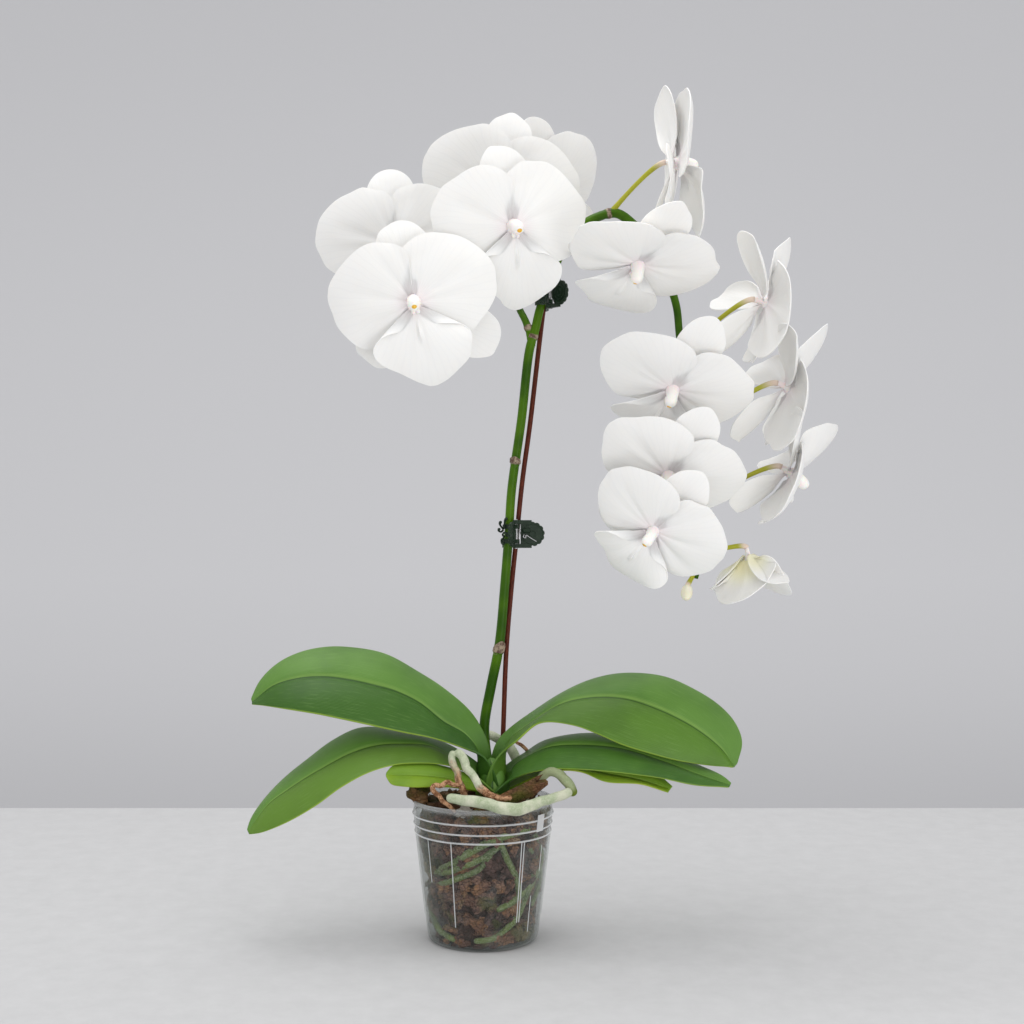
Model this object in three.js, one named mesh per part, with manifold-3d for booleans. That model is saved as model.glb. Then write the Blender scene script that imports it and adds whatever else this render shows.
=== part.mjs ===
// Potted moth orchid in a clear pot: two flower stalks, fourteen blooms, six leaves, aerial roots,
// a stake and two spring clips.
// Millimetres, +Z up. The front, the side the blooms face, is -Y. The origin is the middle of the
// underside of the pot.

import * as THREE from "three";
import { mergeVertices } from "three/addons/utils/BufferGeometryUtils.js";
import Module from "manifold-3d";

const wasm = await Module();
wasm.setup();

// Driving dimensions

const GAP = 0.35;                 // clearance between pieces that touch

const POT_HEIGHT = 121;
const POT_RIM_RADIUS = 60.4;
const POT_WALL = 1.1;
const POT_SIDES = 28;
const WALL_LOW = { z: 9, radius: 48 };       // straight wall, outside, above the rounded foot
const WALL_HIGH = { z: 91, radius: 57.6 };   // and just under the lowest bead ring
const BEAD_HEIGHTS = [93.2, 100.4, 108.6];
const RIB_ANGLES = [-51, -26, 37, 60, 90, 120, 150, 180, 210, 240, 270];   // from the front, to the right
const RIB = { width: 1.2, proud: 0.9, bottom: 21 };
const DRAIN_HOLES = { count: 6, radius: 4, ring: 27, sides: 6 };

const BARK_TOP = 114;
const BARK_MOUND = 7;
const CHIP_COUNT = 8;

const CROWN_TOP = 175;
const LEAF_THICKNESS = 2.2;
const STALK_SIDES = 7;
const STAKE_RADIUS = 2.25;

const PETAL_THICKNESS = 0.9;
const NECK_LENGTH = 11;

const CLIP = {
  pin: 1.2, bore: 1.55, knuckle: 3, pad: 10.6, padThickness: 1.8, lobes: 13, lobeDepth: 0.9,
  band: 1.5, outer: [8.5, 12], inner: [4.5, 8.2], spring: 4.1,
};

// Colours and finishes

const finish = (color, roughness, metalness = 0) =>
  new THREE.MeshStandardMaterial({ color, roughness, metalness });

const CLEAR_PLASTIC = finish(0xb9bdbb, 0.2);
CLEAR_PLASTIC.transparent = true;
CLEAR_PLASTIC.opacity = 0.35;
const BARK = finish(0x5b4943, 0.9);
const LEAF_GREEN = finish(0x4d7a2e, 0.35);
const YOUNG_LEAF_GREEN = finish(0x8fae3c, 0.4);
const STALK_GREEN = finish(0x48600a, 0.4);
const ROOT_SILVER = finish(0xb3b599, 0.7);
const PETAL_WHITE = finish(0xf6f6f4, 0.5);
const BUD_GREEN = finish(0xdfe3b8, 0.5);
const STAKE_BROWN = finish(0x5d3223, 0.4);
const CLIP_GREEN = finish(0x242c1f, 0.45);
const STEEL = finish(0xc8c8c8, 0.3, 1);

// Helpers

const vec = ([x, y, z]) => new THREE.Vector3(x, y, z);
const rad = THREE.MathUtils.degToRad;
const UP = new THREE.Vector3(0, 0, 1);

// Small repeatable random numbers
function seeded(seed) {
  let state = seed >>> 0;
  return () => {
    state = (state * 1664525 + 1013904223) >>> 0;
    return state / 4294967296;
  };
}

function solidOf(geometry) {
  const bare = geometry.clone();
  bare.deleteAttribute("normal");
  bare.deleteAttribute("uv");
  const merged = mergeVertices(bare, 1e-4);
  return new wasm.Manifold(new wasm.Mesh({
    numProp: 3,
    vertProperties: new Float32Array(merged.attributes.position.array),
    triVerts: new Uint32Array(merged.index.array),
  }));
}

function geometryOf(solid) {
  const mesh = solid.getMesh();
  const geometry = new THREE.BufferGeometry();
  geometry.setAttribute("position", new THREE.BufferAttribute(new Float32Array(mesh.vertProperties), 3));
  geometry.setIndex(new THREE.BufferAttribute(new Uint32Array(mesh.triVerts), 1));
  geometry.computeVertexNormals();
  return geometry;
}

const joined = (solids) => solids.reduce((all, next) => all.add(next));

// Grid of points, rows[i][j], closed round j when `ring` is true, with capped ends
function loft(rows, ring) {
  const positions = rows.flat().flatMap((p) => [p.x, p.y, p.z]);
  const width = rows[0].length;
  const index = [];
  const last = rows.length - 1;
  for (let i = 0; i < last; i += 1) {
    for (let j = 0; j < (ring ? width : width - 1); j += 1) {
      const a = i * width + j;
      const b = i * width + ((j + 1) % width);
      index.push(a, b, b + width, a, b + width, a + width);
    }
  }
  for (let j = 1; j < width - 1; j += 1) {
    index.push(0, j + 1, j, last * width, last * width + j, last * width + j + 1);
  }
  const geometry = new THREE.BufferGeometry();
  geometry.setAttribute("position", new THREE.Float32BufferAttribute(positions, 3));
  geometry.setIndex(index);
  return geometry;
}

// Round stem along a smooth curve. radius(t) is its radius at the fraction t of its length.
function stem(curve, radius, sides, steps) {
  const frames = curve.computeFrenetFrames(steps, false);
  const rows = [];
  for (let i = 0; i <= steps; i += 1) {
    const centre = curve.getPointAt(i / steps);
    const row = [];
    for (let j = 0; j < sides; j += 1) {
      const angle = (2 * Math.PI * j) / sides;
      row.push(centre.clone()
        .addScaledVector(frames.normals[i], Math.cos(angle) * radius(i / steps))
        .addScaledVector(frames.binormals[i], Math.sin(angle) * radius(i / steps)));
    }
    rows.push(row);
  }
  return loft(rows, true);
}

const curveThrough = (points) => new THREE.CatmullRomCurve3(points.map(vec), false, "centripetal");

// Radius that runs through the given values, with round ends of the given fraction
function radiusAlong(values, roundEnd = 0) {
  return (t) => {
    const place = t * (values.length - 1);
    const i = Math.min(Math.floor(place), values.length - 2);
    const plain = THREE.MathUtils.lerp(values[i], values[i + 1], place - i);
    const toEnd = Math.min(t, 1 - t);
    return toEnd < roundEnd ? plain * (0.45 + 0.55 * Math.sqrt(toEnd / roundEnd)) : plain;
  };
}

// Thin blade of even thickness on both sides of a middle surface given as rows of points.
// Both faces are split into triangles alike.
function blade(rows, thickness) {
  const width = rows[0].length;
  const at = (i, j) => rows[Math.min(Math.max(i, 0), rows.length - 1)][Math.min(Math.max(j, 0), width - 1)];
  const front = [];
  const back = [];
  rows.forEach((row, i) => row.forEach((point, j) => {
    const along = at(i + 1, j).clone().sub(at(i - 1, j));
    const across = at(i, j + 1).clone().sub(at(i, j - 1));
    const normal = along.cross(across).normalize().multiplyScalar(thickness / 2);
    front.push(point.clone().add(normal));
    back.push(point.clone().sub(normal));
  }));
  const count = front.length;
  const index = [];
  const quad = (a, b, c, d) => index.push(a, b, c, a, c, d);
  for (let i = 0; i < rows.length - 1; i += 1) {
    for (let j = 0; j < width - 1; j += 1) {
      const a = i * width + j;
      const [b, c, d] = [a + width, a + width + 1, a + 1];
      index.push(a, b, c, a, c, d);
      index.push(count + a, count + c, count + b, count + a, count + d, count + c);
    }
  }
  const edge = [];
  for (let j = 0; j < width - 1; j += 1) edge.push(j);
  for (let i = 0; i < rows.length - 1; i += 1) edge.push(i * width + width - 1);
  for (let j = width - 1; j > 0; j -= 1) edge.push((rows.length - 1) * width + j);
  for (let i = rows.length - 1; i > 0; i -= 1) edge.push(i * width);
  edge.forEach((here, k) => {
    const next = edge[(k + 1) % edge.length];
    quad(here, next, count + next, count + here);
  });
  const geometry = new THREE.BufferGeometry();
  geometry.setAttribute("position",
    new THREE.Float32BufferAttribute([...front, ...back].flatMap((p) => [p.x, p.y, p.z]), 3));
  geometry.setIndex(index);
  return geometry;
}

const plant = new THREE.Group();

function addMesh(name, geometry, material, parent = plant) {
  const mesh = new THREE.Mesh(geometry, material);
  mesh.name = name;
  parent.add(mesh);
  return mesh;
}

// Pot: turned shell with a rounded foot, three bead rings and a rolled rim, with upright ribs,
// a tab between the upper rings and a ring of drain holes that leaves the middle flat

const wallRadius = (z) =>
  THREE.MathUtils.mapLinear(z, WALL_LOW.z, WALL_HIGH.z, WALL_LOW.radius, WALL_HIGH.radius);

function potProfile() {
  const outside = [[0, 0], [42, 0], [45.6, 1.4], [47.4, 4.6], [WALL_LOW.radius, WALL_LOW.z]];
  for (const z of BEAD_HEIGHTS) {
    const radius = wallRadius(z) + 0.3;
    outside.push([radius - 0.2, z - 1.3], [radius + 0.9, z], [radius - 0.1, z + 1.3]);
  }
  outside.push([POT_RIM_RADIUS - 1.2, POT_HEIGHT - 3.4], [POT_RIM_RADIUS, POT_HEIGHT - 1.6],
    [POT_RIM_RADIUS - 0.4, POT_HEIGHT]);
  const inside = [[POT_RIM_RADIUS - 2.2, POT_HEIGHT], [POT_RIM_RADIUS - 2.3, POT_HEIGHT - 3.2]];
  for (const z of [100.4, 60, 10]) inside.push([wallRadius(z) - POT_WALL, z]);
  inside.push([46, 5.4], [41.6, 1.6], [0, 1.6]);
  return [...outside, ...inside].map(([r, z]) => new THREE.Vector2(r, z));
}

function buildPot() {
  const shell = new THREE.LatheGeometry(potProfile(), POT_SIDES);
  shell.rotateX(Math.PI / 2);
  let pot = solidOf(shell);
  const ribTop = BEAD_HEIGHTS[0] - 0.6;
  for (const angle of RIB_ANGLES) {
    const rib = new THREE.BoxGeometry(RIB.width, 2.2, ribTop - RIB.bottom);
    const lean = Math.atan2(WALL_HIGH.radius - WALL_LOW.radius, WALL_HIGH.z - WALL_LOW.z);
    const middle = (ribTop + RIB.bottom) / 2;
    rib.rotateX(lean);
    rib.translate(0, -(wallRadius(middle) + RIB.proud - 1.3), middle);
    rib.rotateZ(rad(angle));
    pot = pot.add(solidOf(rib));
  }
  const tab = new THREE.BoxGeometry(9, 2, BEAD_HEIGHTS[2] - BEAD_HEIGHTS[1] + 6);
  tab.translate(0, -(wallRadius(105) + 0.1), 106);
  tab.rotateZ(rad(54));
  pot = pot.add(solidOf(tab));
  for (let i = 0; i < DRAIN_HOLES.count; i += 1) {
    const hole = new THREE.CylinderGeometry(DRAIN_HOLES.radius, DRAIN_HOLES.radius, 8, DRAIN_HOLES.sides);
    hole.rotateX(Math.PI / 2);
    hole.translate(DRAIN_HOLES.ring, 0, 0);
    hole.rotateZ((2 * Math.PI * (i + 0.5)) / DRAIN_HOLES.count);
    pot = pot.subtract(solidOf(hole));
  }
  return pot;
}

// Roots. Those along the wall of the pot are given by where they show from the front: [across, height].

const insideRadius = (z) => wallRadius(z) - POT_WALL - 0.9;
const ROOT_PLATE = { centre: [8, 2, 108], radius: 9 };

const WALL_ROOTS = [
  { radius: 3.0, places: [[-49, 60], [-30, 66], [-15, 73], [0, 80], [15, 90]] },
  { radius: 2.6, places: [[-48, 50], [-30, 57], [-16, 64], [-2, 71], [8, 84]] },
  { radius: 2.8, places: [[31, 46], [28, 62], [21, 78], [14, 96]] },
  { radius: 2.8, places: [[-7, 9], [9, 11], [18, 17], [28, 26], [38, 47], [50, 70], [44, 96]] },
  { radius: 2.3, places: [[41, 33], [47, 46], [51, 60], [40, 84]] },
];

function wallRootSolid({ radius, places }, turn) {
  const points = places.map(([x, z]) => {
    const r = insideRadius(z) - radius;
    const angle = Math.asin(THREE.MathUtils.clamp(x / r, -0.98, 0.98)) + rad(turn);
    return new THREE.Vector3(r * Math.sin(angle), -r * Math.cos(angle), z);
  });
  const curve = new THREE.CatmullRomCurve3(points, false, "centripetal");
  return solidOf(stem(curve, radiusAlong([radius * 0.8, radius, radius, radius * 0.8], 0.06), 5, 6));
}

const AERIAL_ROOTS = [
  // over the front of the rim, blunt end at the left
  { radii: [4.3, 4.6, 4.4, 4.6, 4.3, 4.0, 4.0], steps: 20,
    points: [[-29, -49, 130], [-20, -53, 129], [-10, -57, 128.5], [0, -61, 128], [11, -65, 126],
      [22, -66.5, 123.5],
      [31, -65, 123.5], [41, -59, 125.5], [51, -51, 127.5], [62, -43, 130], [72, -35, 131],
      [76, -30, 134],
      [70, -24, 137], [58, -19, 134], [42, -14, 127], [26, -8, 117], [9, 1, 109]] },
  // bent upright, lies down to the right over the bark, tip broken
  { radii: [3.6, 3.8, 3.4, 3.4, 2.6, 2.2], steps: 12,
    points: [[-23, -29, 165], [-17, -31, 161], [-13, -35, 152], [-6, -39, 144], [-2, -42, 137],
      [6, -46, 131.5],
      [16, -50, 129.5], [25, -53, 130.5]] },
  // its other leg, down to the root plate
  { radii: [3.6, 3.0, 3.0, 3.4], steps: 10,
    points: [[-23, -29, 165], [-25, -29.5, 158], [-22, -32, 148], [-18, -36, 137], [-14, -30, 124],
      [-4, -12, 114],
      [8, 2, 108]] },
  // thin dry root, across to the left and down inside the rim
  { radii: [2.4, 2.2, 2.0, 1.8], steps: 10,
    points: [[-18, -36, 138.5], [-29, -39, 140], [-38, -41, 139.5], [-41, -42.5, 135], [-35, -44.5, 129],
      [-27, -46.5, 122.5],
      [-22, -46.5, 117]] },
];

// Root solids, grown outwards by `extra` to cut clearance holes with
function rootSolids(extra) {
  const solids = [];
  const plate = new THREE.SphereGeometry(ROOT_PLATE.radius + extra, 8, 5);
  plate.rotateX(Math.PI / 2);
  plate.translate(...ROOT_PLATE.centre);
  solids.push(solidOf(plate));
  for (const root of AERIAL_ROOTS) {
    const plain = radiusAlong(root.radii, 0.05);
    solids.push(solidOf(stem(curveThrough(root.points), (t) => plain(t) + extra, 6, root.steps)));
  }
  return joined(solids);
}

// Crown: the short thick stem that leaves, roots and stalks grow from, resting on the root plate

const CROWN_POINTS = [[8, 2, 118], [8, 1, 130], [8, 2, 146], [7, 3, 160], [6, 3, CROWN_TOP]];
const CROWN_RADII = [9, 13, 13.5, 10, 4.5];
const crownSolid = (extra) =>
  solidOf(stem(curveThrough(CROWN_POINTS), (t) => radiusAlong(CROWN_RADII)(t) + extra, 10, 8));

// Flower stalks, with a thicker ring at every joint

const MAIN_STALK = curveThrough([
  [5, 14, 140], [1, 25, 166], [1, 25, 182], [7, 21, 215], [14, 16, 251], [19, 13, 307], [22, 11.5, 346],
  [24.5, 10, 385],
  [33, 8, 446], [40, 6, 506], [45, 5, 524], [49, 4, 541], [55, 3, 557], [62, 2, 577], [69, 2, 593],
  [82, 2, 610],
  [98, 3, 620], [115, 5, 624], [129, 6, 615], [145, 6, 595], [159, 6, 568], [167, 6, 544], [170, 6, 516],
  [176, 8, 480], [183, 8, 441], [189, 8, 402], [192, 8, 363], [189, 8, 329], [183, 4, 309],
]);
const BRANCH_STALK = curveThrough([
  [39.5, 6, 519], [36, 10, 532], [34, 24, 552], [31, 48, 574], [26, 76, 590], [16, 100, 606],
  [6, 110, 632], [-5, 102, 656],
  [-22, 80, 666], [-42, 56, 654], [-62, 40, 630], [-76, 32, 600], [-84, 25, 562], [-85, 12, 531],
  [-79, -9, 514],
  [-72, -26, 512],
]);
const MAIN_JOINTS = [0.128, 0.32, 0.447, 0.6, 0.654];
const BRANCH_JOINTS = [0.08];

// Radius of a stalk that tapers from `from` to `to`, with rings at its joints
function stalkRadius(from, to, joints) {
  return (t) => {
    const ring = joints.some((joint) => Math.abs(joint - t) < 0.006) ? 0.9 : 0;
    return THREE.MathUtils.lerp(from, to, t) + ring;
  };
}

// Ring places of a stalk: even steps, and three close ones at each joint
function stalkSteps(count, joints) {
  const places = [];
  for (let i = 0; i <= count; i += 1) places.push(i / count);
  for (const joint of joints) places.push(joint - 0.0075, joint, joint + 0.0075);
  places.sort((a, b) => a - b);
  return places.filter((t, i) => i === 0 || t - places[i - 1] > 0.0045);
}

// Stem whose rings stand at chosen places, with frames carried along from ring to ring
function jointedStem(curve, radius, sides, places) {
  const rows = [];
  let normal = new THREE.Vector3(0, 1, 0);
  for (const t of places) {
    const centre = curve.getPointAt(t);
    const tangent = curve.getTangentAt(t);
    normal = normal.clone().addScaledVector(tangent, -normal.dot(tangent)).normalize();
    const side = tangent.clone().cross(normal);
    const row = [];
    for (let j = 0; j < sides; j += 1) {
      const angle = (2 * Math.PI * j) / sides;
      row.push(centre.clone().addScaledVector(normal, Math.cos(angle) * radius(t))
        .addScaledVector(side, Math.sin(angle) * radius(t)));
    }
    rows.push(row);
  }
  return loft(rows, true);
}

// Blooms

// Every blade's middle line is an arc that leaves the hub at the angle `rise` and ends at `fall`,
// both measured forwards from the plane of the bloom. `cup` brings the edges forwards, `wave`
// ripples them, `flare` makes the outer half wider than the inner one, `keel` raises the midrib.
const PETAL = { length: 67, width: 84, rise: 8, fall: -28, cup: -2, wave: 1.6, waves: 2, flare: 0.1,
  lift: 0.8, skew: 4, keel: 0 };
const SEPAL = { length: 67, width: 42, rise: -10, fall: -22, cup: 1.5, wave: 0, waves: 1,
  flare: 0.05, lift: -2.8, skew: 0, keel: 0 };
const SIDE_SEPAL = { ...SEPAL, length: 59 };
const LIP = { length: 67, width: 80, rise: 34, fall: -30, cup: -2, wave: 2.6, waves: 3, flare: 0.3,
  lift: 3.2, skew: 0, keel: 2.4 };
const PETAL_CELLS = [5, 4];
const SEPAL_CELLS = [4, 2];
const BASE_RADIUS = 4.2;          // where the blades leave the hub
const BASE_HALF_WIDTH = 1.6;

// Rings of the column in front of the hub and of the neck behind it: y, z and radius
const COLUMN_RINGS = [[1, 4.4, 4.8], [-2, 13, 4.2], [-4.5, 17.5, 2.2]];
const NECK_RINGS = [[0, -4.6, 3.1], [0, -NECK_LENGTH, 2.4]];

// Point of a blade's middle surface; u runs from the hub to the tip, v across it from -1 to 1
function bladePoint(shape, u, v) {
  const phi = Math.PI * u;
  const run = (shape.length * (1 - Math.cos(phi))) / 2;
  const swell = Math.sin(phi) * (1 + shape.flare * (u - 0.5) * 2);
  const half = BASE_HALF_WIDTH + (shape.width / 2 - BASE_HALF_WIDTH) * swell;
  const start = rad(shape.rise);
  const bend = (rad(shape.fall) - start) / shape.length;
  const out = (Math.sin(start + bend * run) - Math.sin(start)) / bend;
  const arc = (Math.cos(start) - Math.cos(start + bend * run)) / bend;
  const ripple = shape.wave * v * v * Math.sin(phi) * Math.sin(shape.waves * phi + 1.5 * v);
  const ridge = shape.keel * Math.max(0, 1 - Math.abs(v) * 3) * Math.sin(phi);
  return new THREE.Vector3(BASE_RADIUS + out, v * half + shape.skew * Math.sin(phi),
    shape.lift + arc + shape.cup * v * v * Math.sin(phi) + ripple + ridge);
}

// Points of one face of a blade, `side` 1 for the front and -1 for the back, turned to the blade's
// place round the hub and mirrored if asked. The first row, on the hub, has two points only.
function bladeFace(shape, [rowCount, columnCount], turn, mirrored, side) {
  const rows = [];
  for (let i = 0; i <= rowCount; i += 1) {
    const columns = i === 0 ? 1 : columnCount;
    const row = [];
    for (let j = 0; j <= columns; j += 1) {
      const u = i / rowCount;
      const v = (2 * j) / columns - 1;
      const point = bladePoint(shape, u, v);
      const along = bladePoint(shape, u + 0.02, v).sub(bladePoint(shape, u - 0.02, v));
      const across = bladePoint(shape, u, v + 0.05).sub(bladePoint(shape, u, v - 0.05));
      const normal = i === 0 || i === rowCount ? UP.clone() : along.cross(across).normalize();
      point.addScaledVector(normal, (side * PETAL_THICKNESS) / 2);
      if (mirrored) point.y = -point.y;
      row.push(point.applyAxisAngle(UP, rad(turn)));
    }
    rows.push(mirrored ? row.reverse() : row);
  }
  return rows;
}

// A bloom in its own frame: hub at the origin, +Z to where it faces, +Y up its upper sepal. It is
// one closed skin: six blades round a hub, the column in front and the neck behind.
// Its place `at` varies it. `size` scales it, `sweep` brings the petals forwards, `lip` the lip, `back`
// takes the sepals backwards, all in degrees, and `rightSepal` lengthens the lower right sepal.
function bloomGeometry({ at, size = 1, sweep = 0, back = 0, lip = 0, rightSepal = 1 }) {
  const random = seeded(at[0] + 7 * at[2]);
  const vary = (amount) => 1 + (random() * 2 - 1) * amount;
  const shaped = (shape, forward) => ({
    ...shape, length: shape.length * size * vary(0.04), width: shape.width * size * vary(0.04),
    rise: shape.rise + forward, fall: shape.fall + forward + 6 * (random() - 0.5),
  });
  // anticlockwise from the right: petal, upper sepal, petal, side sepal, lip, side sepal
  const blades = [
    [shaped(PETAL, sweep), PETAL_CELLS, 18, false], [shaped(SEPAL, -back), SEPAL_CELLS, 90, false],
    [shaped(PETAL, sweep), PETAL_CELLS, 162, true], [shaped(SIDE_SEPAL, -back), SEPAL_CELLS, 218, false],
    [shaped(LIP, lip), PETAL_CELLS, 270, false],
    [shaped({ ...SIDE_SEPAL, length: SIDE_SEPAL.length * rightSepal }, -back), SEPAL_CELLS, 322, true],
  ];
  const points = [];
  const index = [];
  const keep = (rows) => rows.map((row) => row.map((p) => points.push(p) - 1));
  const quad = (a, b, c, d) => index.push(a, b, c, a, c, d);
  const sheets = blades.map((b) => ({ front: keep(bladeFace(...b, 1)), back: keep(bladeFace(...b, -1)) }));
  for (const { front, back } of sheets) {
    for (const [rows, flip] of [[front, false], [back, true]]) {
      const tri = (a, b, c) => (flip ? index.push(a, c, b) : index.push(a, b, c));
      const middle = (rows[1].length - 1) / 2;
      for (let j = 0; j < 2 * middle; j += 1) {
        tri(rows[0][j < middle ? 0 : 1], rows[1][j], rows[1][j + 1]);
      }
      tri(rows[0][0], rows[1][middle], rows[0][1]);
      for (let i = 1; i < rows.length - 1; i += 1) {
        for (let j = 0; j < 2 * middle; j += 1) {
          tri(rows[i][j], rows[i + 1][j], rows[i + 1][j + 1]);
          tri(rows[i][j], rows[i + 1][j + 1], rows[i][j + 1]);
        }
      }
    }
    const tip = front.length - 1;
    for (let i = 0; i < tip; i += 1) {
      quad(back[i][0], back[i + 1][0], front[i + 1][0], front[i][0]);
      quad(front[i].at(-1), front[i + 1].at(-1), back[i + 1].at(-1), back[i].at(-1));
    }
    for (let j = 0; j < front[tip].length - 1; j += 1) {
      quad(front[tip][j], back[tip][j], back[tip][j + 1], front[tip][j + 1]);
    }
  }
  // rings of the column and the neck have a corner between each two blades
  const corners = blades.map(([, , turn], k) => rad((turn + (k === 5 ? 378 : blades[k + 1][2])) / 2));
  const ringOf = ([y, z, radius]) => corners.map((a) =>
    new THREE.Vector3(radius * size * Math.cos(a), y + radius * size * Math.sin(a), z));
  const ringsOf = (rings) => keep(rings.map(ringOf));
  const [column, neck] = [ringsOf(COLUMN_RINGS), ringsOf(NECK_RINGS)];
  sheets.forEach(({ front, back }, k) => {
    const next = sheets[(k + 1) % 6];
    const before = (k + 5) % 6;
    quad(front[0][1], back[0][1], next.back[0][0], next.front[0][0]);
    quad(front[0][0], front[0][1], column[0][k], column[0][before]);
    index.push(front[0][1], next.front[0][0], column[0][k]);
    quad(back[0][1], back[0][0], neck[0][before], neck[0][k]);
    index.push(back[0][1], neck[0][k], next.back[0][0]);
    for (let i = 0; i < column.length - 1; i += 1) {
      quad(column[i][before], column[i][k], column[i + 1][k], column[i + 1][before]);
    }
    quad(neck[0][k], neck[0][before], neck[1][before], neck[1][k]);
  });
  for (let k = 1; k < 5; k += 1) {
    index.push(column.at(-1)[0], column.at(-1)[k], column.at(-1)[k + 1]);
    index.push(neck.at(-1)[0], neck.at(-1)[k + 1], neck.at(-1)[k]);
  }
  const geometry = new THREE.BufferGeometry();
  geometry.setAttribute("position",
    new THREE.Float32BufferAttribute(points.flatMap((p) => [p.x, p.y, p.z]), 3));
  geometry.setIndex(index);
  geometry.computeVertexNormals();
  return geometry;
}

// Place and facing of a bloom. yaw turns it to the viewer's right, pitch up, and roll turns it
// anticlockwise as the viewer sees it, all in degrees.
function bloomFrame({ at, yaw, pitch, roll }) {
  const facing = new THREE.Vector3(Math.sin(rad(yaw)) * Math.cos(rad(pitch)),
    -Math.cos(rad(yaw)) * Math.cos(rad(pitch)), Math.sin(rad(pitch)));
  const right = new THREE.Vector3(Math.cos(rad(yaw)), Math.sin(rad(yaw)), 0);
  const up = facing.clone().cross(right);
  const turned = right.clone().applyAxisAngle(facing, rad(roll));
  const turnedUp = up.clone().applyAxisAngle(facing, rad(roll));
  return new THREE.Matrix4().makeBasis(turned, turnedUp, facing).setPosition(...at);
}

// Name, stalk, where on it the flower stem starts, place of the hub, facing, and changes of shape
const bloomAt = (name, stalk, joint, at, [yaw, pitch, roll], changes = {}) =>
  ({ name, stalk, joint, at, yaw, pitch, roll, ...changes });

const BLOOMS = [
  bloomAt("bloom_left_1", "branch", 0.995, [-54, -81, 534.5], [2, -7, 12], { rightSepal: 1.3, size: 1.02 }),
  bloomAt("bloom_left_2", "branch", 0.08, [25.6, -55, 600.5], [18, -8, 6], { lip: -14, rightSepal: 0.8 }),
  bloomAt("bloom_left_3", "branch", 0.72, [-74, -18, 592], [3, -6, 5], { size: 0.97 }),
  bloomAt("bloom_left_4", "branch", 0.51, [15, 12, 643], [8, -12, -10]),
  bloomAt("bloom_left_5", "branch", 0.37, [60, 84, 660], [40, -30, 30], { size: 0.92 }),
  bloomAt("bloom_right_1", "main", 0.654, [167, 0, 666], [88, -4, -15], { sweep: 10, back: -8, lip: 14 }),
  bloomAt("bloom_right_2", "main", 0.7, [128, -58, 570], [-4, -66, -33], { size: 0.96 }),
  bloomAt("bloom_right_3", "main", 0.77, [243, 0, 546], [90, -16, 45], { size: 0.95, sweep: 22,
    back: 10 }),
  bloomAt("bloom_right_4", "main", 0.81, [158, -48, 468], [-14, -52, -34], { size: 0.97 }),
  bloomAt("bloom_right_5", "main", 0.85, [263, 2, 473], [88, -23, 60], { size: 0.95, sweep: 20 }),
  bloomAt("bloom_right_6", "main", 0.885, [154, -50, 397], [-12, -46, -35],
    { size: 0.95, rightSepal: 0.8 }),
  bloomAt("bloom_right_7", "main", 0.92, [266, 4, 399], [76, -36, 46], { size: 0.9, sweep: 20 }),
  bloomAt("bloom_right_8", "main", 0.985, [141, -62, 351], [-30, -36, -48], { size: 0.88 }),
  bloomAt("bloom_right_9", "main", 0.975, [229, 4, 325], [50, -80, 20], { size: 0.72, sweep: 62,
    back: -56, lip: 30 }),
];

// The bud at the tip of the main stalk, with a short stem like a bloom's
const BUD = { joint: 0.99, at: [175, -3, 297], yaw: -20, pitch: -60, roll: 0, radii: [5.2, 4.6, 7.5] };

// Flower stem from its joint on a stalk to just behind the bloom, whose back is `depth` behind its place
function pedicel(curve, bloom, depth) {
  const frame = bloomFrame(bloom);
  const end = new THREE.Vector3(0, 0, -depth - GAP).applyMatrix4(frame);
  const facing = new THREE.Vector3(0, 0, 1).transformDirection(frame);
  const start = curve.getPointAt(bloom.joint);
  const reach = start.distanceTo(end) / 3;
  const leave = end.clone().addScaledVector(facing, -0.5 * reach).sub(start).setLength(reach);
  const path = new THREE.CubicBezierCurve3(start, start.clone().add(leave),
    end.clone().addScaledVector(facing, -0.4 * reach), end);
  return solidOf(stem(path, radiusAlong([2.4, 1.9, 1.9, 2.1]), 5, 5));
}

function stalkWithPedicels(curve, joints, which, sides, count, radii) {
  const places = stalkSteps(count, joints);
  const core = solidOf(jointedStem(curve, stalkRadius(...radii, joints), sides, places));
  const blooms = BLOOMS.filter((bloom) => bloom.stalk === which);
  return joined([core, ...blooms.map((bloom) => pedicel(curve, bloom, NECK_LENGTH))]);
}

// Leaves. Three rails each: the midrib and the two edges, from the crown to the tip.

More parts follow.
